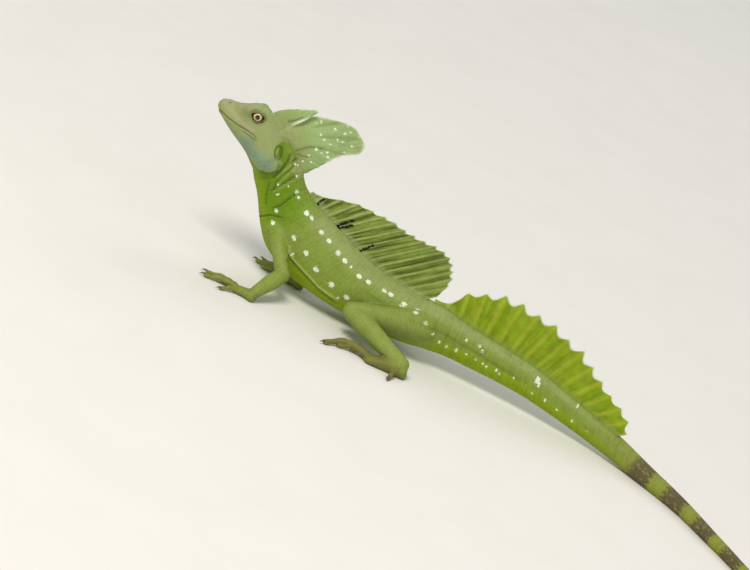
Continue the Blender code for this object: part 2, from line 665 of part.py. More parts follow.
def head_crest(collection, grow=0.0):
    """Tall flat crest from the crown to the nape, thick at its root, with shallow lengthwise folds."""
    columns, rows = CREST_GRID
    edge_knots = run_length(np.array(CREST_EDGE)) / run_length(np.array(CREST_EDGE))[-1]
    root_knots = run_length(np.array(CREST_ROOT)) / run_length(np.array(CREST_ROOT))[-1]
    share = np.linspace(0, 1, columns)
    edge = through(edge_knots, CREST_EDGE, share)
    root = through(root_knots, CREST_ROOT, share)
    out = np.linspace(0, 1, rows)[None, :, None]
    flat = root[:, None] * (1 - out) + edge[:, None] * out
    out = out[..., 0]
    bend = CREST_WAVE * np.sin(flat[..., 0] * 0.11) * out**1.5
    middle = np.stack([flat[..., 0], bend, flat[..., 1]], axis=-1)
    away = np.hypot(flat[..., 0] + 166.0, flat[..., 1] - 92.0)
    fall = np.clip(1 - (away - 16.0) / 30.0, 0, 1) ** 1.5 * (1 - out**3)
    thick = (CREST_ROOT_THICK - CREST_EDGE_THICK) * fall + CREST_EDGE_THICK
    thick = np.broadcast_to(thick, middle.shape[:2]) / 2 + grow
    return sheet("crest", middle, thick, "skin_pale", collection)


def brow_crest(collection):
    """Small crest in front of the big one: a lobe rooted on the crown, its tip free and leaning left."""
    columns, rows = BROW_CREST_GRID
    share = np.linspace(0, 1, columns)
    knots_top = run_length(np.array(BROW_CREST_TOP)) / run_length(np.array(BROW_CREST_TOP))[-1]
    knots_low = run_length(np.array(BROW_CREST_LOW)) / run_length(np.array(BROW_CREST_LOW))[-1]
    top = through(knots_top, BROW_CREST_TOP, share)
    low = through(knots_low, BROW_CREST_LOW, share)
    out = np.linspace(0, 1, rows)[None, :, None]
    flat = low[:, None] * (1 - out) + top[:, None] * out
    lean = -BROW_CREST_LEAN * np.clip((flat[..., 0] + 168.0) / 12.0, 0, 1) ** 0.8
    middle = np.stack([flat[..., 0], lean, flat[..., 1]], axis=-1)
    thick = BROW_CREST_ROOT_THICK + (BROW_CREST_TIP_THICK - BROW_CREST_ROOT_THICK) * share[:, None]
    thick = thick * (1 - 0.55 * out[..., 0] ** 2)
    return sheet("brow_crest", middle, thick / 2, "skin_pale", collection)


def limb(name, start, end, radii, collection, grow=0.0):
    """Limb segment between two joints: rounded ends, radii at root, belly, lower third and end."""
    start, end = np.asarray(start, float), np.asarray(end, float)
    ahead = (end - start) / np.linalg.norm(end - start)
    long = np.linalg.norm(end - start)
    share = np.concatenate([[-0.9, -0.55], np.linspace(0, 1, LIMB_RINGS), [1.0, 1.0]])
    radius = through([0.0, 0.3, 0.7, 1.0], radii, np.clip(share, 0, 1)) + grow
    place = start + ahead * long * np.clip(share, 0, 1)[:, None]
    for i, cap in ((0, 0.92), (1, 0.6)):
        place[i] -= ahead * radii[0] * cap
        radius[i] *= math.sqrt(1 - cap**2)
    for i, cap in ((-2, 0.6), (-1, 0.92)):
        place[i] += ahead * radii[-1] * cap
        radius[i] *= math.sqrt(1 - cap**2)
    across = np.cross(ahead, [0.0, 0.0, 1.0])
    across /= np.linalg.norm(across)
    upward = np.cross(across, ahead)
    angle = np.arange(LIMB_SIDES) / LIMB_SIDES * 2 * math.pi
    rings = place[:, None] + radius[:, None, None] * (
        across * np.cos(angle)[None, :, None] + upward * np.sin(angle)[None, :, None])
    rings[:, :, 2] = np.maximum(rings[:, :, 2], 0.0)
    return loft(name, rings, "skin_green", collection)


def turned(heading, turn):
    """Unit direction on the floor."""
    angle = math.radians(heading + turn)
    return np.array([math.cos(angle), math.sin(angle), 0.0])


def digit(root, toward, long, radius, rise, bow, collection):
    """Finger or toe along the floor: arched at its knuckle, a pad at its end, then a hooked claw."""
    angle, sole = flat_bottomed(DIGIT_SIDES)
    share = np.linspace(0, 1, DIGIT_RINGS)
    arch = rise * np.sin(math.pi * np.clip(share * 1.02, 0, 1) ** 0.9)
    size = radius * np.interp(share, [0, 0.3, 0.5, 0.85, 1.0], [1.25, 1.0, 1.08, 0.9, 0.86])
    across = np.cross(toward, [0.0, 0.0, 1.0])
    path = root + toward * (long * share)[:, None] + across * (bow * np.sin(math.pi * share**1.2))[:, None]
    path[:, 2] = arch + size * sole
    path[0, 2] = root[2]
    toward = (path[-1] - path[-2]) * (1, 1, 0)
    toward /= np.linalg.norm(toward)
    claw = path[-1] + toward * (CLAW * np.array([0.14, 0.5, 1.0]))[:, None]
    claw[:, 2] = path[-1, 2] + np.array([0.35, 0.5, -0.7])
    path = np.concatenate([path, claw])
    size = np.concatenate([size, radius * np.array([0.62, 0.44, 0.14])])
    across = np.cross(toward, [0.0, 0.0, 1.0])
    rings = path[:, None] + size[:, None, None] * (
        across * np.cos(angle)[None, :, None] + np.array([0.0, 0.0, 1.0]) * np.sin(angle)[None, :, None])
    rings[:, :, 2] = np.maximum(rings[:, :, 2], 0.0)
    return loft("digit", rings, "toe_olive", collection)


def paw(name, wrist, heading, outwards, size, digits, collection):
    """Hand or foot: a flattened palm from wrist to knuckles, with its digits fused on."""
    long, wide, thick = size
    toward = turned(heading, 0.0)
    across = np.cross(toward, [0.0, 0.0, 1.0])
    share = np.array([-0.3, -0.2, 0.05, 0.4, 0.8, 1.0, 1.08])
    spread = wide * np.array([0.4, 0.8, 0.9, 0.86, 1.0, 0.8, 0.4])
    height = np.array([0.5, 1.0, 1.2, 1.05, 0.8, 0.6, 0.35]) * thick
    low = np.array([1.2, 0.3, 0.0, 0.2, 0.0, 0.0, 0.6])
    floor_start = np.array([wrist[0], wrist[1], 0.0])
    angle, sole = flat_bottomed(PALM_SIDES)
    path = floor_start + toward * (long * share)[:, None]
    path[:, 2] = low + height * sole
    rings = path[:, None] + across * (spread[:, None] * np.cos(angle))[..., None]
    rings = rings + np.array([0.0, 0.0, 1.0]) * (height[:, None] * np.sin(angle))[..., None]
    palm = loft(name, rings, "toe_olive", collection)
    pieces = []
    for turn, root_share, reach, radius, rise, bow in digits:
        aim = turned(heading, outwards * turn)
        root = floor_start + toward * (long * root_share) - aim * 3.0
        root = root - across * (outwards * wide * 0.62 * np.clip(turn / 30.0, -1, 1))
        root[2] = thick * 0.75
        pieces.append(digit(root, aim, reach + 3.0, radius, rise, outwards * bow, collection))
    return combine(palm, pieces, "UNION", "MANIFOLD")


def make_limb(joints, radii_upper, radii_lower, names, hand_or_foot, trunk, collection):
    """Upper segment cut to fit the trunk, lower cut to fit the upper, hand or foot cut to fit the lower."""
    upper = limb(names[0], joints[0], joints[1], radii_upper, collection)
    combine(upper, [trunk], "DIFFERENCE")
    lower = limb(names[1], joints[1], joints[2], radii_lower, collection)
    combine(lower, [limb("cutter", joints[0], joints[1], radii_upper, collection, GAP)], "DIFFERENCE")
    combine(hand_or_foot, [limb("cutter", joints[1], joints[2], radii_lower, collection, GAP)], "DIFFERENCE")


def main():
    clear_scene()
    body = new_collection("plumed_basilisk")
    make_head(body)

    def head_cutter():
        return head_solid("head_cutter", body, GAP)

    neck_end, trunk_end, tail_end = REACH[NECK_END], TAIL_REACH, REACH[-1]
    neck = body_length("neck", REACH[0], neck_end - GAP / 2, BODY_RING_STEP, BODY_SIDES, "skin_green", body)
    combine(neck, [head_cutter()], "DIFFERENCE")
    body_length("torso", neck_end + GAP / 2, trunk_end - GAP / 2, BODY_RING_STEP, BODY_SIDES,
                "skin_green", body)

    def trunk_cutter():
        return body_length("trunk_cutter", REACH[1], TAIL_REACH + TRUNK_REACH, BODY_RING_STEP, BODY_SIDES,
                           "skin_green", body, GAP)

    cuts = [trunk_end, *(trunk_end + cut for cut in TAIL_CUTS), tail_end]
    for number, (start, end) in enumerate(zip(cuts[:-1], cuts[1:]), 1):
        last = end == tail_end
        body_length(f"tail_{number}", start + GAP / 2, end - (0 if last else GAP / 2), TAIL_RING_STEP,
                    TAIL_SIDES, "tail_green", body)

    ridge_x = ridge_point(REACH)[:, 0]
    reach_of_x = np.interp([SAIL_START, SAIL_END], ridge_x, REACH)
    sail = ray_sail("back_sail", reach_of_x[0], reach_of_x[1], SAIL_RAYS, SAIL_LENGTHS, SAIL_ANGLES,
                    SAIL_SCALLOP, SAIL_SWAY, body)
    combine(sail, [trunk_cutter()], "DIFFERENCE")
    fin = ray_sail("tail_sail", TAIL_REACH + FIN_START, TAIL_REACH + FIN_END, FIN_RAYS, FIN_LENGTHS,
                   FIN_ANGLES, FIN_SCALLOP, FIN_SWAY, body)
    tail_cutter = body_length("tail_cutter", TAIL_REACH - 20.0, TAIL_REACH + FIN_REACH, TAIL_RING_STEP,
                              TAIL_SIDES, "tail_green", body, GAP)
    combine(fin, [tail_cutter], "DIFFERENCE")

    crest = head_crest(body)
    neck_cutter = body_length("neck_cutter", REACH[0], neck_end + 20.0, BODY_RING_STEP, BODY_SIDES,
                              "skin_green", body, GAP)
    combine(crest, [head_cutter(), neck_cutter], "DIFFERENCE")
    front = brow_crest(body)
    combine(front, [head_cutter(), head_crest(body, GAP)], "DIFFERENCE")

    for side, outwards, arm, leg in (("left", 1, LEFT_ARM, LEFT_LEG), ("right", -1, RIGHT_ARM, RIGHT_LEG)):
        hand = paw(f"hand_{side}", arm[2], HAND_HEADING[side], outwards, PALM, FINGERS, body)
        make_limb(arm, UPPER_ARM_RADII, FOREARM_RADII, (f"upper_arm_{side}", f"forearm_{side}"), hand,
                  trunk_cutter(), body)
        foot = paw(f"foot_{side}", leg[2], FOOT_HEADING[side], outwards, SOLE, TOES, body)
        make_limb(leg, THIGH_RADII, SHIN_RADII, (f"thigh_{side}", f"shin_{side}"), foot, trunk_cutter(), body)


main()
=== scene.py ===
"""Looks of the life-size plumed basilisk: skin, scales, sails, eyes, claws and the studio round the frame.

Shapes are worked out in millimetres in the lizard's own frame, x towards its tail, z up and -y its left,
and `placed` turns them to metres in the shared frame.
"""

import math
from functools import partial

import bmesh
import bpy
import numpy as np
from bpy.props import FloatProperty, FloatVectorProperty, IntProperty, PointerProperty
from bpy.types import NodeSocket, Operator, Panel, PropertyGroup
from mathutils import Matrix, Vector


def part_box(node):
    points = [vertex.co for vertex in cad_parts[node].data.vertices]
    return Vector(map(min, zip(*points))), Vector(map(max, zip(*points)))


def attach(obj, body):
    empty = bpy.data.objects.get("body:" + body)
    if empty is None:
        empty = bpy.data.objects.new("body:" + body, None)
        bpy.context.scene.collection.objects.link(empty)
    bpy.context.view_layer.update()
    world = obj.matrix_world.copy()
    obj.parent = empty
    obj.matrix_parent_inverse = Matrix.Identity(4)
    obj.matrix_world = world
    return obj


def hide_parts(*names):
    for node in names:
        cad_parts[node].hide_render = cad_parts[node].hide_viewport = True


bl_info = {
    "name": "Plumed basilisk",
    "version": (1, 0, 0),
    "blender": (4, 5, 0),
    "location": "View3D > Sidebar > Basilisk",
    "description": "Skin, scales, sails, eyes and claws of a life-size plumed basilisk",
    "category": "Add Mesh",
}

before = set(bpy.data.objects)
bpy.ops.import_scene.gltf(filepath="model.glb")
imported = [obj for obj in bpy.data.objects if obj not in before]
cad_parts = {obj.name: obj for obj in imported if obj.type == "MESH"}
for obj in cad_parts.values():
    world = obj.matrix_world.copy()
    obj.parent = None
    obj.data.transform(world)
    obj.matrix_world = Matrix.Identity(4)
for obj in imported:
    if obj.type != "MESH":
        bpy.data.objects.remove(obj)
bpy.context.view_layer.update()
MM = 0.001
SEED = 26
UP = np.array([0.0, 0.0, 1.0])
TURN = 2 * math.pi
SIDES = {"left": -1, "right": 1}  # where y points on each side

# Neck and trunk, front to back: the back's ridge (x, z), the belly's midline (x, z), half width.
TRUNK = (
    ((-152.0, 96.0), (-177.0, 77.0), 10.0),
    ((-142.0, 86.5), (-170.0, 65.0), 11.5),
    ((-137.5, 79.5), (-164.5, 58.0), 11.5),
    ((-133.5, 75.0), (-160.0, 51.0), 11.5),
    ((-128.0, 71.3), (-155.5, 43.0), 12.5),
    ((-121.0, 68.0), (-150.0, 34.5), 14.5),
    ((-113.0, 64.2), (-142.5, 25.5), 16.5),
    ((-105.0, 61.0), (-132.0, 18.5), 18.0),
    ((-96.0, 57.6), (-118.0, 12.6), 19.0),
    ((-84.0, 52.8), (-100.0, 8.8), 19.5),
    ((-70.0, 48.3), (-80.0, 6.6), 19.5),
    ((-54.0, 44.9), (-60.0, 5.4), 19.0),
    ((-38.0, 43.0), (-41.0, 5.2), 18.0),
    ((-23.0, 42.2), (-24.0, 6.6), 16.5),
)
# Tail from the vent: distance along it, height, width, underside above the floor, heading in degrees.
TAIL = (
    (0.0, 33.4, 29.0, 9.3, 0.0),
    (13.0, 29.6, 24.0, 11.0, 0.0),
    (30.0, 27.0, 20.5, 11.2, 0.0),
    (50.0, 25.2, 18.5, 11.4, -1.0),
    (75.0, 23.2, 16.8, 11.0, -3.0),
    (100.0, 20.6, 15.2, 8.4, -4.0),
    (125.0, 18.8, 14.0, 5.2, -9.0),
    (150.0, 17.6, 13.2, 2.4, -18.0),
    (180.0, 14.9, 12.0, -0.3, -28.0),
    (215.0, 11.6, 10.2, -0.3, -38.0),
    (260.0, 9.4, 8.8, -0.3, -50.0),
    (310.0, 7.9, 7.5, -0.3, -34.0),
    (370.0, 6.3, 6.0, -0.3, 2.0),
    (440.0, 4.5, 4.4, -0.3, 28.0),
    (510.0, 2.8, 2.8, -0.3, 30.0),
    (545.0, 1.4, 1.4, -0.2, 22.0),
)
TAIL_START = (-9.0, 0.0)
TAIL_ROUNDS = 40.0  # how soon behind the vent the section is a plain oval
ROOF = 1.18  # over 1 draws the back in to a ridge
KEEL = 0.82  # under 1 flattens the belly

# Head, snout to nape: top (x, z), bottom (x, z), half width, squareness of the crown.
HEAD = (
    ((-213.9, 102.8), (-212.9, 98.4), 3.0, 0.90),
    ((-213.0, 104.8), (-211.2, 96.3), 4.9, 0.84),
    ((-210.8, 106.2), (-207.8, 93.7), 6.3, 0.78),
    ((-206.8, 107.0), (-203.0, 90.4), 7.4, 0.70),
    ((-202.2, 107.7), (-198.0, 87.3), 8.5, 0.62),
    ((-197.4, 109.4), (-192.7, 84.4), 9.8, 0.54),
    ((-192.0, 111.8), (-187.0, 81.3), 10.9, 0.50),
    ((-186.6, 113.3), (-181.4, 77.8), 11.7, 0.50),
    ((-180.8, 113.0), (-176.2, 73.4), 12.6, 0.60),
    ((-174.2, 110.4), (-171.0, 69.0), 13.8, 0.82),
    ((-167.4, 107.0), (-166.2, 66.2), 14.5, 1.04),
    ((-160.4, 102.4), (-160.8, 66.6), 14.0, 1.20),
    ((-154.0, 96.8), (-155.8, 70.4), 11.8, 1.20),
    ((-149.2, 90.4), (-151.0, 77.4), 7.2, 1.1),
)
SNOUT_TIP = (-214.3, 100.6)
HEAD_BACK = (-147.8, 84.6)
HEAD_CAP = 0.035  # share of the head's length that the rounded ends take
HEAD_END = -150.0  # eye, ear and nostril all lie ahead of this x
NAPE = -140.0  # and the head's folds ahead of this one
WIDEST_LOW = 0.16  # how far under its middle the head is widest, as a share of its half height
EYE = (-184.9, 8.1, 108.4)  # centre of the eyeball, its y on either side
EYEBALL = 4.6  # radius
EYE_BOWL = 5.6  # radius of the hollow round it, which stays free of scales
EYE_OVAL = 1.12  # how much longer than high the eye's opening is
BROW_BULGE = 1.6  # how far the brows stand out

# Head crest: outer edge from brow to nape, the root line sunk in the head, thickness at root and edge.
CREST_EDGE = ((-163.0, 110.6), (-156.8, 118.2), (-150.6, 123.9), (-142.9, 127.0), (-135.0, 129.3), (-128.0, 130.7),
              (-122.1, 130.5), (-118.3, 128.5), (-114.8, 126.0), (-111.6, 123.4), (-110.0, 120.7), (-109.8, 117.1),
              (-111.7, 113.4), (-115.6, 111.6), (-119.6, 109.1), (-123.0, 105.7), (-126.7, 101.1), (-130.5, 95.4),
              (-134.4, 90.0), (-138.2, 84.2))
CREST_ROOT = ((-168.0, 101.0), (-159.0, 97.0), (-152.0, 90.0), (-147.0, 81.0))
CREST_THICK = (11.0, 1.3)
CREST_HEART = (-166.0, 92.0)  # x, z in the head from where the crest thins
BROW_CREST_TOP = ((-178.6, 110.4), (-174.2, 116.0), (-170.4, 118.8), (-166.2, 121.4), (-161.4, 124.6),
                  (-155.9, 128.2), (-151.6, 130.2), (-148.9, 129.4))
BROW_CREST_LOW = ((-178.0, 106.6), (-173.0, 104.8), (-168.0, 103.6), (-163.2, 106.6), (-159.8, 111.2),
                  (-156.4, 116.6), (-152.6, 122.6), (-149.2, 128.0))
BROW_CREST_THICK = (5.0, 1.3)  # at its root and tip
BROW_CREST_LEAN = 3.6  # how far its tip leans to the left

# Sails: rays, how far the edge dips between two, how ragged it is and from which phase, sideways sway, rows of
# points, lengths (share along, mm) and slopes (share along, degrees) of the rays.
SAILS = {
    "back": {"rays": 18, "dip": 0.05, "ragged": 0.5, "phase": 0.4, "sway": 1.6, "rows": 44,
             "lengths": ((0.0, 2.5), (0.05, 6.0), (0.1, 13.0), (0.15, 20.5), (0.2, 26.5), (0.3, 34.4), (0.35, 38.2),
                         (0.41, 40.4), (0.47, 42.6), (0.65, 50.2), (0.71, 48.0), (0.77, 44.0), (0.82, 38.4),
                         (0.88, 32.0), (0.94, 22.0), (1.0, 8.0)),
             "angles": ((0.0, 58.0), (0.12, 52.0), (0.25, 43.0), (0.4, 40.0), (0.6, 41.0), (1.0, 40.0))},
    "tail": {"rays": 16, "dip": 0.13, "ragged": 0.9, "phase": 1.9, "sway": 1.2, "rows": 36,
             "lengths": ((0.0, 2.0), (0.07, 5.5), (0.13, 19.0), (0.2, 27.0), (0.27, 33.0), (0.4, 35.0),
                         (0.47, 35.4), (0.53, 33.0), (0.6, 32.0), (0.73, 25.6), (0.8, 22.4), (0.87, 20.4),
                         (0.93, 16.0), (1.0, 6.0)),
             "angles": ((0.0, 109.0), (1.0, 36.0))},
}
SAIL_ENDS = (-129.5, -23.5)  # x on the back's ridge
FIN_ENDS = (-8.6, 150.0)  # along the tail
RAY_WIDTH = 0.13  # share of the space between two rays
RAY_STEPS = 14  # points from one ray to the next

# Limbs: joints (x, y, z), radii at root, belly, lower third and end of each half.
ARMS = {"left": ((-138.6, -9.0, 41.0), (-120.6, -29.5, 19.6), (-132.5, -51.0, 5.6)),
        "right": ((-132.0, 9.0, 40.0), (-101.0, 34.0, 29.0), (-108.0, 16.0, 5.6))}
LEGS = {"left": ((-17.0, -8.0, 26.0), (-66.0, -29.5, 19.4), (-19.0, -52.5, 9.0)),
        "right": ((-17.0, 8.0, 26.0), (-62.0, 36.0, 19.4), (-14.0, 54.0, 9.0))}
ARM_RADII = ((7.4, 6.1, 5.2, 5.0), (5.3, 5.9, 4.9, 3.9))
LEG_RADII = ((12.0, 11.2, 8.8, 7.0), (6.8, 7.4, 6.2, 5.6))
LIMB_KNOTS = (0.0, 0.3, 0.7, 1.0)
# Side, joints and radii of each half limb.
LIMBS = [(side, joints[half:half + 2], radii) for side in SIDES
         for joints, halves in ((ARMS[side], ARM_RADII), (LEGS[side], LEG_RADII))
         for half, radii in enumerate(halves)]
HAND_HEADING = {"left": 164.0, "right": 166.0}
FOOT_HEADING = {"left": 183.0, "right": 160.0}
# Digits: turn outwards in degrees, root share, length, radius, height of the arch, inward bow.
FINGERS = (
    (-24.0, 0.5, 9.5, 1.6, 1.2, 0.0),
    (-8.0, 0.84, 19.0, 1.6, 2.0, 0.5),
    (3.0, 0.95, 24.5, 1.7, 2.4, 1.2),
    (17.0, 0.9, 24.0, 1.7, 2.4, 1.5),
    (44.0, 0.6, 15.0, 1.5, 1.8, 1.5),
)
TOES = (
    (-24.0, 0.66, 9.0, 1.7, 1.6, 0.0),
    (-10.0, 0.86, 15.0, 1.8, 2.6, 1.5),
    (0.0, 0.96, 22.0, 1.9, 3.4, 3.0),
    (9.0, 1.0, 31.0, 2.0, 4.2, 6.0),
    (78.0, 0.1, 12.0, 1.7, 1.6, 0.0),
)
PALM = (12.5, 5.2, 3.2)  # length, half width, half thickness
SOLE = (24.0, 5.8, 4.2)
PAW_TOP = 14.0  # height above the floor that no colour of hand or foot passes
CLAW = 4.6  # length

# Lines on the side of head and neck (x, z), the same on both sides.
MOUTH = ((-222.0, 100.0), (-213.0, 98.8), (-207.2, 97.6), (-202.5, 96.6), (-198.2, 96.2), (-193.1, 96.0),
         (-188.0, 96.0), (-183.5, 95.6), (-179.8, 94.6))
CANTHUS = ((-206.0, 106.2), (-200.0, 106.2), (-194.0, 108.6), (-190.5, 111.6), (-185.0, 113.4), (-180.5, 112.4),
           (-177.6, 108.6))
NOSTRIL = (-207.0, 2.9, 105.6)
EAR = (-162.2, 92.4)
EAR_SIZE = (1.5, 3.8)
EAR_LEAN = 16.0  # degrees, top forward


def linear(code):
    """Linear colour with alpha from an sRGB hex value."""
    parts = [int(code[i:i + 2], 16) / 255 for i in (1, 3, 5)]
    return (*[c / 12.92 if c <= 0.04045 else ((c + 0.055) / 1.055) ** 2.4 for c in parts], 1.0)


def eye_shift():
    """What turns the lizard's own millimetres to the frame's, read from where the left eye was packed."""
    low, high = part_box("eye_left")
    return np.array((low + high) / 2) / MM - np.array([EYE[0], -EYE[1], EYE[2]])


SHIFT = eye_shift()


def placed(points):
    """Metres in the shared frame from millimetres in the lizard's own."""
    return (np.asarray(points, float) + SHIFT) * MM


def own(points):
    """Millimetres in the lizard's own frame from metres in the shared one."""
    return np.asarray(points, float) / MM - SHIFT


def xyz(x, y, z):
    """Points from their coordinates."""
    return np.stack(np.broadcast_arrays(x, y, z), axis=-1)


def by(direction, amount):
    """A direction times an amount at each place."""
    return direction * amount[..., None]


def bump(distance, width):
    """1 at no distance, a bell that is nearly 0 beyond twice the width."""
    return np.exp(-((distance / width) ** 2))


def ease(value, low, high):
    """0 below low, 1 above high, a smooth step between."""
    t = np.clip((value - low) / (high - low), 0, 1)
    return t * t * (3 - 2 * t)


def ends_fade(share, part):
    """0 at both ends of a line, rising to 1 over a part of its length."""
    return ease(share, 0.0, part) * ease(1 - share, 0.0, part)


def quarter(cap):
    """Height of a quarter circle, 1 at 0 and 0 at 1."""
    return np.sqrt(np.maximum(1 - cap**2, 0))


def unit(vectors):
    """Vectors at length 1."""
    return vectors / np.maximum(np.linalg.norm(vectors, axis=-1, keepdims=True), 1e-9)


def grounded(points, low=0.0):
    """Points lifted to the floor where they were under it."""
    points[..., 2] = np.maximum(points[..., 2], low)
    return points


def side_view(points):
    """x and z of points."""
    return points[:, [0, 2]]


def tilted(x, z, degrees, about=(0.0, 0.0)):
    """x and z of the side view turned, then moved so that they lie about a point."""
    cos, sin = (turn(math.radians(degrees)) for turn in (math.cos, math.sin))
    return about[0] + x * cos - z * sin, about[1] + x * sin + z * cos


def through(knots, values, at):
    """Smooth curve through (knots, values) read at places: cubic Hermite pieces, slopes the mean of neighbours."""
    knots, values, at = (np.asarray(a, float) for a in (knots, values, at))
    more = (1,) * (values.ndim - 1)
    step = np.diff(knots)
    rise = np.diff(values, axis=0) / step.reshape(-1, *more)
    slope = np.concatenate([rise[:1], (rise[:-1] + rise[1:]) / 2, rise[-1:]])
    i = np.clip(np.searchsorted(knots, at, side="right") - 1, 0, len(step) - 1)
    t, width = (a.reshape(at.shape + more) for a in ((at - knots[i]) / step[i], step[i]))
    h00, h10 = 2 * t**3 - 3 * t**2 + 1, t**3 - 2 * t**2 + t
    h01, h11 = 3 * t**2 - 2 * t**3, t**3 - t**2
    return h00 * values[i] + h10 * width * slope[i] + h01 * values[i + 1] + h11 * width * slope[i + 1]


def run_length(points):
    """Distance along a run of points, from its first."""
    return np.concatenate([[0.0], np.cumsum(np.linalg.norm(np.diff(points, axis=0), axis=1))])


def along_line(line, share):
    """Smooth curve through a line's points, read at shares of its length."""
    knots = run_length(np.array(line))
    return through(knots / knots[-1], line, share)


def line_distance(points, line):
    """Distance from points to a bent line, and the share of the line's length at the nearest place."""
    line = np.asarray(line, float)
    spans, before = np.diff(line, axis=0), run_length(line)
    best, share = np.full(len(points), np.inf), np.zeros(len(points))
    for start, span, length, done in zip(line, spans, np.linalg.norm(spans, axis=1), before):
        t = np.clip((points - start) @ span / length**2, 0, 1)
        away = np.linalg.norm(points - start - t[:, None] * span, axis=1)
        share = np.where(away < best, (done + t * length) / before[-1], share)
        best = np.minimum(away, best)
    return best, share


def body_frame():
    """Reach along neck, trunk and tail, with rows of middle, up, side, half height and half width."""
    back, belly = (np.array([[row[i][0], 0.0, row[i][1]] for row in TRUNK]) for i in (0, 1))
    half = (back - belly) / 2
    high = np.linalg.norm(half, axis=1, keepdims=True)
    side = np.broadcast_to([0.0, 1.0, 0.0], half.shape)
    trunk = np.hstack([(back + belly) / 2, half / high, side, high, [[row[2]] for row in TRUNK]])
    far, tall, wide, low, turn = np.array(TAIL).T
    steps = np.linspace(0, far[-1], 546)
    heading = np.radians(through(far, turn, steps))[:-1]
    east, north = (start + np.concatenate([[0], np.cumsum(part)]) * steps[1]
                   for start, part in zip(TAIL_START, (np.cos(heading), np.sin(heading))))
    turn, flat = np.radians(turn), np.zeros_like(far)
    rest = np.column_stack([np.interp(far, steps, east), np.interp(far, steps, north), low + tall / 2,
                            flat, flat, flat + 1, -np.sin(turn), np.cos(turn), flat, tall / 2, wide / 2])
    rows = np.vstack([trunk, rest])
    return run_length(rows[:, :3]), rows


REACH, ROWS = body_frame()
TAIL_REACH = REACH[len(TRUNK)]


def body_points(place, angle, grow=0.0):
    """Skin of neck, trunk and tail at a distance along it and an angle from the ridge.

    middle + up * half height * lift(cos) + side * half width * sin, where lift is cos to a power that
    draws the back to a ridge and flattens the belly, and is plain cos in the tail.
    """
    rows = through(REACH, ROWS, place)
    up = np.cos(angle)
    lift = np.where(up > 0, np.abs(up) ** ROOF, -np.abs(up) ** KEEL)
    tail = np.clip((place - TAIL_REACH) / TAIL_ROUNDS, 0, 1)
    lift = lift * (1 - tail) + up * tail
    points = rows[..., 0:3] + by(rows[..., 3:6], (rows[..., 9] + grow) * lift)
    return grounded(points + by(rows[..., 6:9], (rows[..., 10] + grow) * np.sin(angle)), -grow)


def ridge_point(rows):
    """Top of the back at rows of the body."""
    return rows[..., 0:3] + rows[..., 3:6] * rows[..., 9:10]


HEAD_ROWS = np.array([(*top, *low, wide, flat) for top, low, wide, flat in HEAD])
HEAD_KNOTS = run_length((HEAD_ROWS[:, 0:2] + HEAD_ROWS[:, 2:4]) / 2)


def head_points(share, angle, grow=0.0):
    """Skin of the head at a share of its length and an angle from the crown.

    The section is a rounded box: up * cos to a power + side * sin to a power, narrower above, with brows,
    cheeks and the hollow before the eye pushed sideways. Before 0 and after 1 the section shrinks as a
    quarter circle to the tip of the snout and the nape.
    """
    cap = np.clip(np.maximum(-share, share - 1) / HEAD_CAP, 0, 1)
    rows = through(HEAD_KNOTS, HEAD_ROWS, np.clip(share, 0, 1) * HEAD_KNOTS[-1])
    top, low = (xyz(rows[..., i], 0.0, rows[..., i + 1]) for i in (0, 2))
    middle, half = (top + low) / 2, (top - low) / 2
    size = np.linalg.norm(half, axis=-1)
    upward = half / size[..., None]
    end = np.where(share[..., None] < 0, (SNOUT_TIP[0] - grow, 0.0, SNOUT_TIP[1]),
                   (HEAD_BACK[0] + grow, 0.0, HEAD_BACK[1]))
    middle = middle + by(end - middle, cap)
    size, wide, flat = (size + grow) * quarter(cap), (rows[..., 4] + grow) * quarter(cap), rows[..., 5]
    across, up = np.sin(angle), np.cos(angle)
    lift = np.sign(up) * np.abs(up) ** np.where(up > 0, flat, 0.95)
    spread = np.sign(across) * np.abs(across) ** np.where(up > 0, 0.5 + 0.5 * flat, 0.95)
    lift = lift - WIDEST_LOW * across**2 * (1 - np.abs(up))
    points = middle + by(upward, size * lift)
    points[..., 1] += wide * spread * (1 - 0.16 * np.clip(up, 0, 1) ** 2)
    x, y, z = np.moveaxis(points, -1, 0)
    brow = bump(np.hypot((x - EYE[0] + 1.0) / 1.8, z - EYE[2] - 4.4), 3.6)
    hollow = bump(np.hypot((x - EYE[0] + 11.0) / 1.5, z - EYE[2] + 4.0), 4.6)
    jowl = bump(np.hypot((x + 166.0) / 1.3, z - 80.0), 9.0)
    points[..., 1] += np.sign(y) * np.clip(np.abs(y) / 5.0, 0, 1) * (BROW_BULGE * brow - 0.9 * hollow + 1.5 * jowl)
    return points


def round_line(path, across, upward, size, angle):
    """A circle round each point of a path: across * cos + upward * sin, times its size."""
    return path + by(across, size * np.cos(angle)) + by(upward, size * np.sin(angle))


def limb_points(joints, radii, share, angle, grow=0.0):
    """Round limb between two joints: start + ahead * length * share, its radius a smooth curve through four
    sizes; before 0 and after 1 the section shrinks as a quarter circle."""
    start, end = np.asarray(joints, float)
    long = np.linalg.norm(end - start)
    ahead = (end - start) / long
    inside = np.clip(share, 0, 1)
    beyond = (share - inside) * long
    ends = np.where(share < 0, radii[0], radii[-1]) + grow
    cap = np.clip(np.abs(beyond) / ends, 0, 1)
    radius = (through(LIMB_KNOTS, radii, inside) + grow) * quarter(cap)
    across = unit(np.cross(ahead, UP))
    path = start + by(ahead, inside * long + np.sign(beyond) * cap * ends)
    return grounded(round_line(path, across, np.cross(across, ahead), radius, angle))


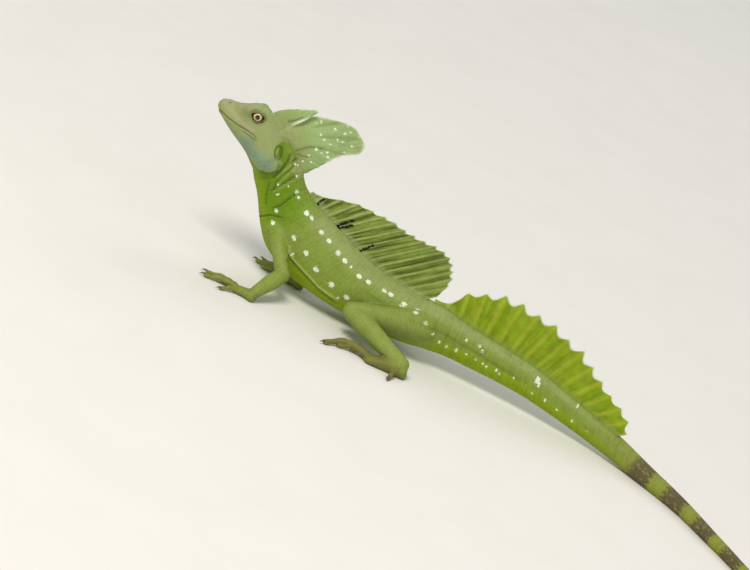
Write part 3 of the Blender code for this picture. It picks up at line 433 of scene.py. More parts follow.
def palm_points(start, toward, across, size, share, angle):
    """Palm or sole: a flattened tube from wrist to knuckles, round its own line on the floor."""
    long, wide, thick = size
    sizes = np.column_stack([wide * np.array([0.05, 0.8, 0.9, 0.86, 1.0, 0.8, 0.05]),
                             thick * np.array([0.05, 1.0, 1.2, 1.05, 0.8, 0.6, 0.05]),
                             [1.2, 0.3, 0.0, 0.2, 0.0, 0.0, 0.6]])
    half, high, middle = np.moveaxis(through([-0.3, -0.2, 0.05, 0.4, 0.8, 1.0, 1.08], sizes, share), -1, 0)
    points = start + by(toward, long * share) + by(across, half * np.cos(angle))
    points[..., 2] = middle + high * (0.95 + np.sin(angle))
    return grounded(points)


def on_floor(heading):
    """Unit direction on the floor from a heading in degrees."""
    return np.array([math.cos(math.radians(heading)), math.sin(math.radians(heading)), 0.0])


def paw(wrist, heading, outwards, size, digits):
    """A hand's or foot's palm as a form, its middle line, and each digit's root, aim and own sizes."""
    long, wide, thick = size
    buried = 3.0  # how far a digit starts inside the palm
    toward, start = on_floor(heading), np.array([wrist[0], wrist[1], 0.0])
    across = np.cross(toward, UP)
    plans = []
    for turn, root_share, reach, radius, rise, bow in digits:
        aim = on_floor(heading + outwards * turn)
        root = start + toward * (long * root_share) - aim * buried
        root = root - across * (outwards * wide * 0.62 * np.clip(turn / 30.0, -1, 1))
        root[2] = thick * 0.75
        plans.append((root, aim, reach + buried, radius, rise, outwards * bow))
    line = np.array([start, start + toward * long]) + (0, 0, 3.0)
    return partial(palm_points, start, toward, across, size), line, plans


# Side, palm as a form, middle line and digits of each hand and foot.
PAWS = [(side, *paw(joints[side][2], heading[side], -SIDES[side], size, digits)) for side in SIDES
        for joints, heading, size, digits in ((ARMS, HAND_HEADING, PALM, FINGERS), (LEGS, FOOT_HEADING, SOLE, TOES))]


def digit_line(plan, share):
    """Middle line and radius of a finger or toe: arched at its knuckle, with swollen joints and a pad."""
    root, aim, long, radius, rise, bow = plan
    arch = rise * np.sin(math.pi * np.clip(share * 1.02, 0, 1) ** 0.9)
    size = radius * np.interp(share, [0, 0.3, 0.5, 0.85, 1.0], [1.25, 1.0, 1.08, 0.9, 0.86])
    size = size * (1 + 0.1 * np.cos(share * 3 * TURN) * ease(share, 0.2, 0.4))
    path = root + by(aim, long * share) + by(np.cross(aim, UP), bow * np.sin(math.pi * share**1.2))
    path[..., 2] = np.where(share > 0, arch + size * 0.9, root[2])
    return path, size


def digit_points(plan, share, angle):
    """Skin of a finger or toe round its middle line, rounded off at the end under the claw."""
    path, size = digit_line(plan, np.clip(share, 0, 1))
    ahead, _ = digit_line(plan, np.clip(share + 0.02, 0, 1.02))
    toward = unit((ahead - path) * (1, 1, 0))
    cap = np.clip((share - 1) / 0.06, 0, 1)
    return grounded(round_line(path + by(toward, cap * 1.1), np.cross(toward, UP), UP, size * quarter(cap), angle))


def between(low, top, share, out):
    """x and z between two lines: a share along both, and how far out from the first to the second."""
    return np.moveaxis(by(along_line(low, share), 1 - out) + by(along_line(top, share), out), -1, 0)


def crest_points(share, out):
    """Middle sheet of the head crest: from its root line (out 0) to its edge (out 1), gently waved."""
    x, z = between(CREST_ROOT, CREST_EDGE, share, out)
    away = np.hypot(x - CREST_HEART[0], z - CREST_HEART[1])
    fall = np.clip(1 - (away - 16.0) / 30.0, 0, 1) ** 1.5 * (1 - out**3)
    thick = (CREST_THICK[0] - CREST_THICK[1]) * fall + CREST_THICK[1]
    return xyz(x, 1.2 * np.sin(x * 0.11) * out**1.5, z), thick / 2


def brow_crest_points(share, out):
    """Middle sheet of the small front crest: low line (out 0) to top line (out 1), its tip leaning left."""
    x, z = between(BROW_CREST_LOW, BROW_CREST_TOP, share, out)
    lean = -BROW_CREST_LEAN * np.clip((x + 168.0) / 12.0, 0, 1) ** 0.8
    thick = BROW_CREST_THICK[0] + (BROW_CREST_THICK[1] - BROW_CREST_THICK[0]) * share
    return xyz(x, lean, z), thick * (1 - 0.55 * out**2) / 2


def sail_points(kind, share, out):
    """Middle sheet of a sail, half its thickness, how near each place is to a ray, and the rays' length there.

    The rays lean back from the ridge; the membrane between two rays dips at the edge, waves a little
    sideways, and is pleated: each ray stands out to one side and the next web to the other.
    """
    sail = SAILS[kind]
    if kind == "back":
        start, end = np.interp(SAIL_ENDS, ridge_point(ROWS)[:, 0], REACH)
    else:
        start, end = np.add(FIN_ENDS, TAIL_REACH)
    rows = through(REACH, ROWS, start + (end - start) * share)
    upward, sideways = rows[..., 3:6], rows[..., 6:9]
    ray = share * (sail["rays"] - 1)
    near_ray = np.minimum(ray % 1.0, 1 - ray % 1.0)
    number = np.rint(ray)
    uneven = 0.5 * np.sin(number * 2.7 + sail["phase"]) + 0.5 * np.sin(number * 5.1)
    long = through(*zip(*sail["lengths"]), share) * (1 - sail["dip"] * np.sin(math.pi * (ray % 1.0)) ** 1.2)
    long = long + sail["ragged"] * uneven * bump(near_ray, 0.25)
    lean = np.radians(np.interp(share, *zip(*sail["angles"])))[..., None]
    toward = np.cross(sideways, UP) * np.cos(lean) + UP * np.sin(lean)
    wave = sail["sway"] * np.sin(share * 9.0) * out**2 + 0.35 * np.cos(ray * TURN) * out**0.7
    middle = ridge_point(rows) + by(toward, long * out) - by(upward, 3.0 * bump(out, 0.03)) + by(sideways, wave)
    thick = 2.4 * bump(out * long, 2.2) + 0.75 - 0.3 * out + (1.0 - 0.5 * out) * bump(near_ray, RAY_WIDTH)
    return middle, thick / 2, near_ray, long


def grid_faces(rows, columns, closed):
    """Quads of a grid of rows by columns points; closed joins the last column to the first."""
    i = np.arange(rows - 1)[:, None] * columns
    j = np.arange(columns if closed else columns - 1)[None, :]
    k = (j + 1) % columns
    return np.stack([i + j, i + k, i + columns + k, i + columns + j], axis=-1).reshape(-1, 4)


def tube_mesh(points):
    """Points and faces of a closed skin over rings of points, with a fan at both ends."""
    rows, columns = points.shape[:2]
    flat = np.concatenate([points.reshape(-1, 3), [points[0].mean(0)], [points[-1].mean(0)]])
    j, end = np.arange(columns), rows * columns
    k, last = (j + 1) % columns, end - columns
    caps = [np.stack([0 * j + end, k, j], axis=-1), np.stack([0 * j + end + 1, last + j, last + k], axis=-1)]
    return flat, [grid_faces(rows, columns, True), np.concatenate(caps)]


def sheet_mesh(middle, half):
    """Points and faces of a closed thin sheet: a grid of middle points thickened to both sides."""
    rows, columns = middle.shape[:2]
    thick = by(unit(np.cross(np.gradient(middle, axis=0), np.gradient(middle, axis=1))), half)
    other = rows * columns
    front = grid_faces(rows, columns, False)
    index = np.arange(other).reshape(rows, columns)
    rim = np.concatenate([index[:, 0], index[-1, 1:], index[-2::-1, -1], index[0, -2:0:-1]])
    after = np.roll(rim, -1)
    band = np.stack([rim, other + rim, other + after, after], axis=-1)
    return np.concatenate([middle + thick, middle - thick]).reshape(-1, 3), [front, front[:, ::-1] + other, band]


def merged(parts):
    """One list of points and faces from several."""
    points, faces, done = [], [], 0
    for some_points, some_faces in parts:
        points.append(some_points)
        faces += [block + done for block in some_faces]
        done += len(some_points)
    return np.concatenate(points), faces


def linked(name, data):
    """A new object of the scene."""
    made = bpy.data.objects.new(name, data)
    bpy.context.scene.collection.objects.link(made)
    return made


def new_mesh(name, points, faces):
    """A mesh from points in metres and blocks of faces, one block for each number of corners."""
    mesh = bpy.data.meshes.new(name)
    corners = np.concatenate([np.asarray(block).reshape(-1) for block in faces]).astype(np.int32)
    sizes = np.concatenate([np.full(len(block), np.shape(block)[1]) for block in faces])
    starts = np.concatenate([[0], np.cumsum(sizes)[:-1]]).astype(np.int32)
    for items, key, values, count in ((mesh.vertices, "co", np.asarray(points, np.float32), len(points)),
                                      (mesh.loops, "vertex_index", corners, len(corners)),
                                      (mesh.polygons, "loop_start", starts, len(starts))):
        items.add(count)
        items.foreach_set(key, values.ravel())
    mesh.update(calc_edges=True)
    mesh.validate()
    return mesh


def new_object(name, points, faces, outward=True):
    """A smooth object from points in millimetres; outward turns each closed shell's faces to point out."""
    mesh = new_mesh(name, placed(points), faces)
    if outward:
        work = bmesh.new()
        work.from_mesh(mesh)
        bmesh.ops.recalc_face_normals(work, faces=work.faces)
        work.to_mesh(mesh)
        work.free()
    mesh.shade_smooth()
    return linked(name, mesh)


def evaluated_mesh(obj):
    """The object's mesh with its modifiers done."""
    bpy.context.view_layer.update()
    return bpy.data.meshes.new_from_object(obj.evaluated_get(bpy.context.evaluated_depsgraph_get()))


def read(items, key, width, kind=np.float32):
    """One property of every item of a mesh, a row for each."""
    found = np.empty(len(items) * width, kind)
    items.foreach_get(key, found)
    return found.reshape(-1, width)


def mesh_points(mesh):
    """The mesh's points in millimetres."""
    return own(read(mesh.vertices, "co", 3).astype(float))


def move_points(mesh, points):
    """Puts the mesh's points at places in millimetres."""
    mesh.vertices.foreach_set("co", placed(points).astype(np.float32).ravel())
    mesh.update()


def put_values(mesh, values, repeat=1):
    """Numbers on each point by name, for the materials; each may be repeated for that many points in a row."""
    for name, numbers in values.items():
        layer = mesh.attributes.new(name, "FLOAT", "POINT")
        layer.data.foreach_set("value", np.repeat(np.ravel(numbers), repeat).astype(np.float32))


def smoothed(points, edges, weight, rounds):
    """Points drawn to their neighbours' mean and back out again, so that steps go and size stays.

    Each round moves a point half way to that mean, then half way back, less where its weight is high.
    """
    a, b = edges.T
    count = np.bincount(edges.ravel(), minlength=len(points)).astype(float)[:, None]
    for number in range(rounds * 2):
        total = np.column_stack([np.bincount(a, points[b, axis], len(points))
                                 + np.bincount(b, points[a, axis], len(points)) for axis in range(3)])
        pull = 0.5 if number % 2 == 0 else -0.5 * (1 - weight[:, None])
        points = points + (total / count - points) * pull
    return points


def mesh_grid(low, high, rows, columns):
    """Share and angle over a grid, for a form that runs round."""
    return np.broadcast_arrays(np.linspace(low, high, rows)[:, None],
                               np.linspace(0, TURN, columns, endpoint=False)[None, :])


def flesh_forms(depth):
    """Every form of flesh as points and faces, inside the solids by the scales' depth."""
    tubes = [head_points(*mesh_grid(-HEAD_CAP, 1 + HEAD_CAP, 110, 72), -depth),
             body_points(*mesh_grid(REACH[0], REACH[-1], 620, 56), -depth)]
    sheet = np.meshgrid(np.linspace(0, 1, 120), np.linspace(0, 1, 40), indexing="ij")
    forms = [tube_mesh(tube) for tube in tubes] + [sheet_mesh(*crest_points(*sheet)),
                                                   sheet_mesh(*brow_crest_points(*sheet))]
    for _, joints, radii in LIMBS:
        forms.append(tube_mesh(limb_points(joints, radii, *mesh_grid(-0.4, 1.4, 60, 32), -depth)))
    for _, palm, _, plans in PAWS:
        forms.append(tube_mesh(palm(*mesh_grid(-0.3, 1.08, 30, 32))))
        forms += [tube_mesh(digit_points(plan, *mesh_grid(0.0, 1.06, 36, 18))) for plan in plans]
    return forms


# Creases and ridges on the side: line (x, z), width, depth (under 0 stands out), how dark and how wide its painted
# shade.
CREASES = {
    "mouth": (MOUTH[1:], 0.42, 0.75, 0.85, 0.45),
    "upper_lip": ([(x, z + 1.5) for x, z in MOUTH[1:]], 0.8, -0.28, 0.0, 1.0),
    "lower_lip": ([(x, z - 1.4) for x, z in MOUTH[1:]], 0.8, -0.25, 0.0, 1.0),
    "mouth_corner": (((-190.0, 94.4), (-185.0, 93.6), (-180.5, 92.6), (-177.5, 93.6)), 0.5, 0.3, 0.7, 0.5),
    "canthus": (CANTHUS, 0.9, -0.45, 0.0, 1.0),
    "jaw_angle": (((-168.0, 74.6), (-161.5, 75.5), (-156.2, 79.7), (-157.0, 84.0),
                   (-158.4, 87.3)), 0.7, 0.55, 0.7, 0.8),
    "behind_ear": (((-163.5, 97.4), (-160.2, 95.0), (-158.6, 91.0), (-158.8, 86.6)), 0.6, 0.5, 1.0, 0.9),
    "neck_1": (((-157.6, 72.6), (-153.8, 82.0), (-150.2, 89.8), (-147.0, 94.0)), 0.7, 0.4, 0.95, 0.9),
    "neck_2": (((-155.6, 63.0), (-151.4, 69.5), (-146.4, 76.8), (-142.2, 84.4)), 0.8, 0.45, 0.95, 0.9),
    "neck_3": (((-149.0, 52.0), (-143.6, 59.2), (-139.3, 67.4), (-135.4, 75.0)), 0.9, 0.6, 0.95, 0.9),
    "neck_4": (((-157.8, 72.0), (-157.6, 66.9), (-155.8, 59.4), (-152.0, 52.0)), 0.7, 0.35, 0.8, 0.8),
    "neck_5": (((-153.6, 94.8), (-153.0, 88.4), (-154.2, 82.6), (-156.0, 77.4)), 0.8, 0.5, 0.8, 0.8),
    "neck_6": (((-147.8, 90.4), (-148.6, 84.6), (-151.4, 79.0), (-153.6, 72.0),
                (-152.6, 64.0)), 0.8, 0.5, 0.7, 0.8),
    "gular": (((-160.0, 41.6), (-153.6, 42.6), (-147.4, 48.8), (-141.7, 50.8), (-137.0, 52.6)), 0.8, 0.8, 0.9, 0.8),
    "flank_ridge": (((-125.5, 37.0), (-122.7, 30.9), (-107.1, 25.0), (-93.7, 19.8),
                     (-74.5, 16.6)), 0.9, -0.8, 0.0, 1.0),
    "flank_crease": (((-124.5, 34.0), (-121.7, 28.6), (-106.5, 22.6), (-93.2, 17.6),
                      (-76.0, 14.6)), 0.9, 0.6, 0.5, 1.2),
    "hip_crease": (((-74.0, 33.0), (-62.0, 31.6), (-51.7, 30.5), (-36.2, 30.4), (-12.5, 29.8), (19.5, 26.8),
                    (43.9, 24.4), (70.0, 21.4)), 1.4, 0.4, 0.35, 1.6),
    "crest_furrow_1": (((-152.5, 95.6), (-149.5, 98.6), (-146.5, 101.4), (-143.4, 103.8), (-137.1, 105.4),
                        (-133.0, 106.2)), 0.7, 0.55, 0.8, 0.8),
    "crest_furrow_2": (((-150.2, 95.8), (-145.9, 95.3), (-141.1, 96.6)), 0.7, 0.45, 0.7, 0.7),
    "brow_fold": (((-166.0, 111.6), (-160.4, 116.6), (-156.2, 121.4)), 0.7, 0.5, 0.8, 0.7),
}
CREST_FAN = (-164.0, 99.0)  # where the crest's low folds fan out from


def ear_distance(points):
    """1 on the rim of the ear's oval, 0 at its middle, seen from the side."""
    across, along = tilted(points[:, 0] - EAR[0], points[:, 2] - EAR[1], -EAR_LEAN)
    return np.hypot(across / EAR_SIZE[0], along / EAR_SIZE[1])


def shaped_skin(points, outward):
    """Skin points moved along their normals for the folds of head, neck, crest and flank.

    Each crease is depth * bell(distance to its line / width), faded at both ends of the line; the eye's
    bowl, the ear's cup and the nostril are bells round a point.
    """
    flat = side_view(points)
    away = np.abs(points[:, 1])
    move = np.zeros(len(points))
    beside = ease(away, 1.0, 3.0)
    for name, (line, width, depth, *_) in CREASES.items():
        far, share = line_distance(flat, line)
        fade = ease(1 - share, 0.0, 0.1) if name in ("mouth", "upper_lip", "lower_lip") else ends_fade(share, 0.12)
        thin = name.startswith("crest") or name in ("brow_fold", "mouth")
        move -= depth * bump(far, width) * fade * (1.0 if thin else beside)
    on_head = flat[:, 0] < NAPE
    ear = ear_distance(points)
    move -= 1.5 * ease(1.15 - ear, 0.0, 0.45) * beside * on_head
    move += 0.35 * bump(ear - 1.35, 0.22) * beside * on_head
    nose = np.linalg.norm(xyz(points[:, 0], away, points[:, 2]) - NOSTRIL, axis=1)
    move += (0.3 * bump(nose - 1.5, 0.5) - 1.1 * ease(1.1 - nose, 0.0, 0.6)) * on_head
    move += 0.26 * crest_folds(flat) * on_crest(points)
    points = points + outward * move[:, None]
    eye = np.hypot(flat[:, 0] - EYE[0], (flat[:, 1] - EYE[2]) * EYE_OVAL)
    inner = np.minimum(np.abs(points[:, 1]), EYE[1] - 1.2 + 2.0 * ease(eye, 3.0, 5.4))
    bowl = ease(EYE_BOWL - eye, 0.0, 1.0) * (away > 4) * on_head
    points[:, 1] = points[:, 1] * (1 - bowl) + np.sign(points[:, 1]) * inner * bowl
    return grounded(points)


def crest_folds(flat):
    """Low folds that fan out over the crest, 1 on their backs and -1 between: two sines of the fan's angle."""
    x, z = (flat - CREST_FAN).T
    fan, reach = np.arctan2(z, x), np.hypot(z, x)
    folds = 0.62 * np.sin(fan * 22 + 0.6 * np.sin(reach * 0.2)) + 0.38 * np.sin(fan * 47 + reach * 0.15)
    return folds * ease(reach, 18.0, 30.0)


def on_crest(points):
    """1 on the head crest, fading over its root."""
    x, y, z = points.T
    reach = np.hypot(x - CREST_HEART[0], z - CREST_HEART[1])
    above = z - np.interp(x, (-180.0, -166.0, -152.0, -140.0, -100.0), (112.0, 106.0, 96.0, 84.0, 80.0))
    return ease(reach, 16.0, 34.0) * ease(above, -2.0, 3.0) * ((x < -104.0) & (np.abs(y) < 9))


def build_skin(voxel, target, depth):
    """One closed skin: all forms of flesh joined by a voxel remesh, relaxed, then folded and thinned."""
    source = new_object("skin_source", *merged(flesh_forms(depth)), outward=False)
    remesh = source.modifiers.new("join", "REMESH")
    remesh.mode = "VOXEL"
    remesh.voxel_size = voxel * MM
    mesh = evaluated_mesh(source)
    bpy.data.objects.remove(source)
    points = mesh_points(mesh)
    move_points(mesh, smoothed(points, read(mesh.edges, "vertices", 2, np.int32), joint_softness(points), 6))
    refine(mesh)
    normals = read(mesh.vertex_normals, "vector", 3).astype(float)
    points = shaped_skin(mesh_points(mesh), normals)
    move_points(mesh, points)
    made = linked("skin", mesh)
    triangles = sum(len(face.vertices) - 2 for face in mesh.polygons)
    if triangles > target:
        thin_out(made, points, target / triangles)
    made.data.name = "skin"
    made.data.shade_smooth()
    return made


def joint_softness(points):
    """How strongly each place is relaxed: most where limbs and crest leave the body, least on the head."""
    soft = np.full(len(points), 0.02)
    for side in SIDES:
        for joints, widths in zip(zip(ARMS[side], LEGS[side]), ((11.0, 17.0), (6.0, 9.0), (6.0, 8.0))):
            for joint, width in zip(joints, widths):
                soft += 0.75 * bump(np.linalg.norm(points - joint, axis=1), width)
    soft += 0.5 * bump(np.hypot(points[:, 0] + 150.0, points[:, 2] - 90.0), 9.0)
    return np.clip(soft, 0, 0.9)


def refine(mesh):
    """Splits the faces near the head's fine features, so that they hold their shape."""
    points = mesh_points(mesh)
    flat = side_view(points)
    near = (ear_distance(points) < 1.6) & (flat[:, 0] < HEAD_END)
    near |= np.hypot(flat[:, 0] - NOSTRIL[0], flat[:, 1] - NOSTRIL[2]) < 2.6
    for name in ("mouth", "upper_lip", "lower_lip", "canthus", "behind_ear", "jaw_angle", "gular"):
        near |= (line_distance(flat, CREASES[name][0])[0] < 1.2) & (flat[:, 0] < NAPE)
    work = bmesh.new()
    work.from_mesh(mesh)
    work.verts.ensure_lookup_table()
    edges = [edge for edge in work.edges if near[edge.verts[0].index] and near[edge.verts[1].index]]
    bmesh.ops.subdivide_edges(work, edges=edges, cuts=1, use_grid_fill=True)
    bmesh.ops.triangulate(work, faces=[face for face in work.faces if len(face.verts) > 4])
    work.to_mesh(mesh)
    work.free()


def thin_out(obj, points, share):
    """Collapses edges down to a share of the triangles, the head last of all."""
    weight = np.clip(ease(points[:, 0], HEAD_END, NAPE) + 0.6 * on_crest(points), 0, 1)
    group = obj.vertex_groups.new(name="plain")
    for level in (0.25, 0.5, 0.75, 1.0):
        chosen = np.nonzero((weight > level - 0.25) & (weight <= level))[0]
        group.add(chosen.tolist(), level, "REPLACE")
    thin = obj.modifiers.new("thin", "DECIMATE")
    thin.ratio = share
    thin.vertex_group = "plain"
    thin.vertex_group_factor = 4.0
    mesh, old = evaluated_mesh(obj), obj.data
    obj.modifiers.clear()
    obj.vertex_groups.clear()
    obj.data = mesh
    bpy.data.meshes.remove(old)


# Where the colours lie. White spots: x, z on the side, radius.
FLANK_SPOTS = ((-143.4, 45.4, 1.9), (-125.2, 43.8, 1.9), (-120.9, 32.6, 1.6), (-113.3, 38.2, 2.1),
               (-101.4, 31.0, 2.2), (-87.8, 26.4, 2.2), (-74.3, 23.1, 2.2), (-79.9, 19.5, 1.2))
BACK_SPOTS = ((-125.2, 62.3, 2.1), (-120.4, 60.1, 1.7), (-109.9, 54.9, 2.0), (-103.1, 52.2, 1.8),
              (-92.9, 47.5, 2.0), (-86.9, 45.0, 1.9), (-80.8, 42.4, 1.3), (-72.8, 39.6, 2.0), (-65.6, 39.1, 2.0),
              (-52.4, 37.7, 1.9), (-46.9, 37.4, 2.1), (-36.4, 35.5, 2.3), (-26.2, 35.2, 1.8), (-16.5, 31.8, 1.6))
NECK_SPOTS = ((-143.3, 81.6, 1.2), (-137.8, 71.5, 1.5), (-134.8, 68.5, 1.4), (-151.4, 71.0, 1.1),
              (-145.4, 73.8, 0.9), (-148.8, 64.6, 1.2), (-144.7, 53.9, 1.6), (-147.7, 88.2, 1.0))
CREST_SPOTS = ((-147.5, 120.4), (-144.7, 122.7), (-133.9, 123.0), (-126.7, 129.0), (-126.1, 123.0), (-122.9, 125.9),
               (-128.6, 116.8), (-137.3, 112.4), (-124.9, 117.2), (-140.7, 114.6), (-132.3, 111.7), (-118.1, 117.4),
               (-139.3, 103.9), (-134.5, 103.4), (-131.6, 105.3), (-141.9, 98.2), (-143.8, 92.5), (-129.5, 102.7),
               (-138.5, 94.2), (-121.0, 111.0))
TAIL_DASHES = ((-8.8, 26.6, 1.3), (-2.3, 22.5, 1.8), (3.9, 21.7, 1.7), (10.8, 22.1, 1.6), (19.0, 22.5, 1.7),
               (25.3, 22.4, 1.4), (31.2, 21.8, 1.4), (34.8, 20.9, 1.3), (42.1, 21.8, 1.5), (44.6, 20.2, 1.3),
               (55.8, 22.6, 1.4), (66.5, 21.7, 1.4), (71.3, 18.3, 1.3), (82.2, 18.6, 1.5), (91.9, 16.5, 1.3),
               (105.7, 14.3, 1.3), (117.5, 12.9, 1.3), (13.6, 31.4, 1.3), (23.8, 31.6, 1.6), (27.4, 29.8, 1.3),
               (70.8, 28.3, 3.2), (73.0, 26.4, 2.0), (104.0, 24.7, 1.6), (131.0, 24.6, 2.6))
JOWL = ((-184.9, 87.1), (-180.6, 84.5), (-173.5, 82.8), (-164.8, 81.2))
# Painted shade darkens the hollow ahead of the eye round this point.
LOREAL = (-193.4, 105.8)  # the darker hollow ahead of the eye
UPPER_LIP = ((-206.2, 102.5), (-197.8, 100.2), (-190.1, 98.7), (-184.8, 97.6))
SNOUT_TOP = ((-212.0, 105.0), (-206.0, 108.4), (-197.0, 110.2), (-190.0, 112.6))
# The head's paler colours end along this outline: under the jaw, round the jowl and ear, and below the crest.
HEAD_OUTLINE = ((-204.0, 90.0), (-196.0, 87.4), (-188.7, 83.4), (-178.0, 78.5), (-169.2, 76.1), (-161.5, 76.5),
                (-156.8, 81.1), (-156.5, 86.5), (-159.3, 89.2), (-164.0, 90.6), (-165.2, 94.8), (-162.6, 100.3),
                (-156.4, 100.0), (-150.2, 96.6), (-147.2, 90.1), (-147.7, 84.2), (-141.4, 80.6), (-128.0, 84.0),
                (-100.0, 90.0), (-96.0, 170.0), (-250.0, 170.0), (-250.0, 84.0))
BAND_START = 195.0  # along the tail, the middle of its first light band
BAND_STEP = 34.0


def body_coordinates(points):
    """Nearest distance along the body, angle from the ridge, and how far out of the section, 1 on the skin."""
    places = np.linspace(0, REACH[-1], 640)
    rows = through(REACH, ROWS, places)
    middle = rows[:, 0:3]
    some = 20000  # points looked at in one go
    nearest = np.concatenate([((middle**2).sum(1) - 2 * points[i:i + some] @ middle.T).argmin(1)
                              for i in range(0, len(points), some)])
    rows = rows[nearest]
    away = points - rows[:, 0:3]
    high = (away * rows[:, 3:6]).sum(1) / rows[:, 9]
    wide = (away * rows[:, 6:9]).sum(1) / rows[:, 10]
    return places[nearest], np.arctan2(wide, high), np.hypot(high, wide)


def limb_nearness(points):
    """1 on a limb's skin and fading off it, and the same for hands and feet."""
    limb, paws, low = np.zeros(len(points)), np.zeros(len(points)), points[:, 2] < PAW_TOP
    for _, joints, radii in LIMBS:
        far, share = line_distance(points, joints)
        limb = np.maximum(limb, ease(1.35 - far / np.interp(share, LIMB_KNOTS, radii), 0.0, 0.3))
    for _, _, line, plans in PAWS:
        near = ease(7.5 - line_distance(points[low], line)[0], 0.0, 2.0)
        for plan in plans:
            path, _ = digit_line(plan, np.linspace(0, 1, 7))
            near = np.maximum(near, ease(4.2 - line_distance(points[low], path)[0], 0.0, 1.0))
        paws[low] = np.maximum(paws[low], near)
    return limb, paws


def spotted(points, spots, blur=0.4, longer=1.0, on=None):
    """1 inside spots given on the side, that many times longer than high, soft at their edges.

    Where on says which points a spot may lie on, it is round on the skin itself, about the nearest of them.
    """
    mirrored = xyz(points[:, 0], np.abs(points[:, 1]), points[:, 2])
    found = np.zeros(len(points))
    for x, z, radius in spots:
        far = np.hypot((points[:, 0] - x) / longer, (points[:, 2] - z) * 1.05)
        if on is not None:
            apart = np.where(on, far, 99.0)
            if apart.min() > 2.0:
                continue
            far = np.linalg.norm(mirrored - mirrored[apart.argmin()], axis=1)
        found = np.maximum(found, ease(0.86 * radius + blur / 2 - far, 0.0, blur))
    return found


def within(flat, outline, blur):
    """1 inside a closed outline on the side view, 0 outside it, soft across its edge.

    A place is inside where a level line from it crosses the outline an odd number of times.
    """
    inside = np.zeros(len(flat), bool)
    for (x0, z0), (x1, z1) in zip(outline, outline[1:] + outline[:1]):
        slope = (x1 - x0) / ((z1 - z0) or 1.0)
        inside ^= ((z0 > flat[:, 1]) != (z1 > flat[:, 1])) & (flat[:, 0] < x0 + (flat[:, 1] - z0) * slope)
    far, _ = line_distance(flat, outline + outline[:1])
    return ease(np.where(inside, far, -far), -blur, blur)


def markings(points):
    """How strongly each colour of the skin shows at each point, 0 to 1, by name.

    Regions are smooth steps of the body's own coordinates, lines are bells round them, spots are discs.
    """
    flat = side_view(points)
    x, z = flat.T
    place, angle, out = body_coordinates(points)
    along, round_angle = place - TAIL_REACH, np.abs(angle)
    limb, paws = limb_nearness(points)
    off_body = ease(out, 1.12, 1.35)
    limb = np.maximum(limb * off_body, limb * ease(round_angle, 1.2, 1.6) * 0.5)
    head, crest = within(flat, HEAD_OUTLINE, 1.5), on_crest(points)
    beside, bare = ease(np.abs(points[:, 1]), 2.0, 5.0), 1 - limb * off_body
    face = (x < HEAD_END) * beside

    def near(line, width):
        """A bell round a line of the side view."""
        return bump(line_distance(flat, line)[0], width)

    neck = ease(-place, -REACH[7], -REACH[4]) * (1 - head)
    low = 0.34 * ease(along, -10.0, 30.0)
    phase = (along - BAND_START + 1.1 * np.sin(angle * 9) + 0.8 * np.sin(angle * 23 + 1.0)) / BAND_STEP
    light = ease(0.5 + 0.5 * np.cos((phase - np.rint(phase)) * TURN), 0.5, 0.72)
    # Painted shade: dark on the ear cup's rim, round the eye, in the hollow before it, between crest folds and along
    # creases.
    dark = [0.8 * bump(ear_distance(points) - 1.05, 0.25) * face,
            0.6 * ease(1.1 - np.hypot((x - EYE[0] + 0.4) / 6.6, (z - EYE[2] - 0.2) / 4.3), 0.0, 0.3) * face,
            0.45 * bump(np.hypot((x - LOREAL[0]) / 1.3, z - LOREAL[1]), 3.6) * beside,
            0.34 * ease(-crest_folds(flat), 0.1, 0.8) * crest]
    for name, (line, _, _, strength, width) in CREASES.items():
        if strength:
            far, share = line_distance(flat, line)
            dark.append(strength * bump(far, width) * (ends_fade(share, 0.15) if name != "mouth" else 1.0))
    white = [spotted(points, FLANK_SPOTS + BACK_SPOTS + NECK_SPOTS, on=(bare * beside > 0.6) & (crest < 0.5)),
             spotted(points, TAIL_DASHES, 0.5, 0.6)]
    white = [part * beside * bare for part in white]
    crest_spots = [(*spot, 0.75 + 0.4 * (i * 7 % 5) / 5) for i, spot in enumerate(CREST_SPOTS)]
    white.append(spotted(points, crest_spots) * ease(x, -150.0, -146.0) * (z > 88))
    for sheet in (crest_points, brow_crest_points):
        edge = side_view(sheet(np.linspace(0, 1, 40), np.ones(40))[0])
        white.append(0.95 * near(edge, 0.8) * ease(z, 96.0, 100.0) * ease(x, -164.0, -158.0))
    # Pale line along the flank's ridge, and painted highlight on the neck's ridges just behind its grooves.
    far, share = line_distance(flat, CREASES["flank_ridge"][0])
    pale = [bump(far, 0.8) * ease(1 - share, 0.0, 0.2) * 0.8]
    for name in ("neck_1", "neck_2", "neck_5", "neck_6"):
        far, share = line_distance(flat, [(x0 + 1.9, z0) for x0, z0 in CREASES[name][0]])
        pale.append(0.42 * bump(far, 0.7) * ends_fade(share, 0.3))
    return {
        "belly": np.maximum(ease(round_angle, 1.72 - low, 2.2 - low) * (1 - limb) * (1 - head),
                            0.5 * ease(along, 160.0, 200.0)),
        "neck": neck**1.6 * (0.35 + 0.65 * ease(round_angle, 0.5, 1.2)) * (1 - 0.6 * ease(round_angle, 1.9, 2.5)),
        "back": ease(1.15 - round_angle, 0.0, 0.5) * ease(place, REACH[4], REACH[7]) * (1 - limb)
        * ease(170.0 - along, 0.0, 80.0),
        "head": head * (1 - crest),
        "jowl": near(JOWL, 5.4) * head * beside,
        "lip": np.maximum(near(UPPER_LIP, 2.0), near(SNOUT_TOP, 3.0)) * head,
        "crest": crest,
        "limb": np.maximum(limb, paws),
        "foot": paws * np.where(x < -100, 0.45, 1.0),
        "pale": ease(along, 110.0, 190.0) * (1 - limb) * (1 - paws),
        "band": (1 - light) * ease(along, BAND_START - 32.0, BAND_START - 20.0) * (1 - limb) * (1 - paws),
        # Painted shade in folds, hollows and rims.
        "crease": np.max(dark, axis=0) * bare,
        # A pale flank line, and painted highlight on the neck's ridges.
        "ridge": np.max(pale, axis=0) * beside * bare,
        "spot": np.max(white, axis=0),
    }
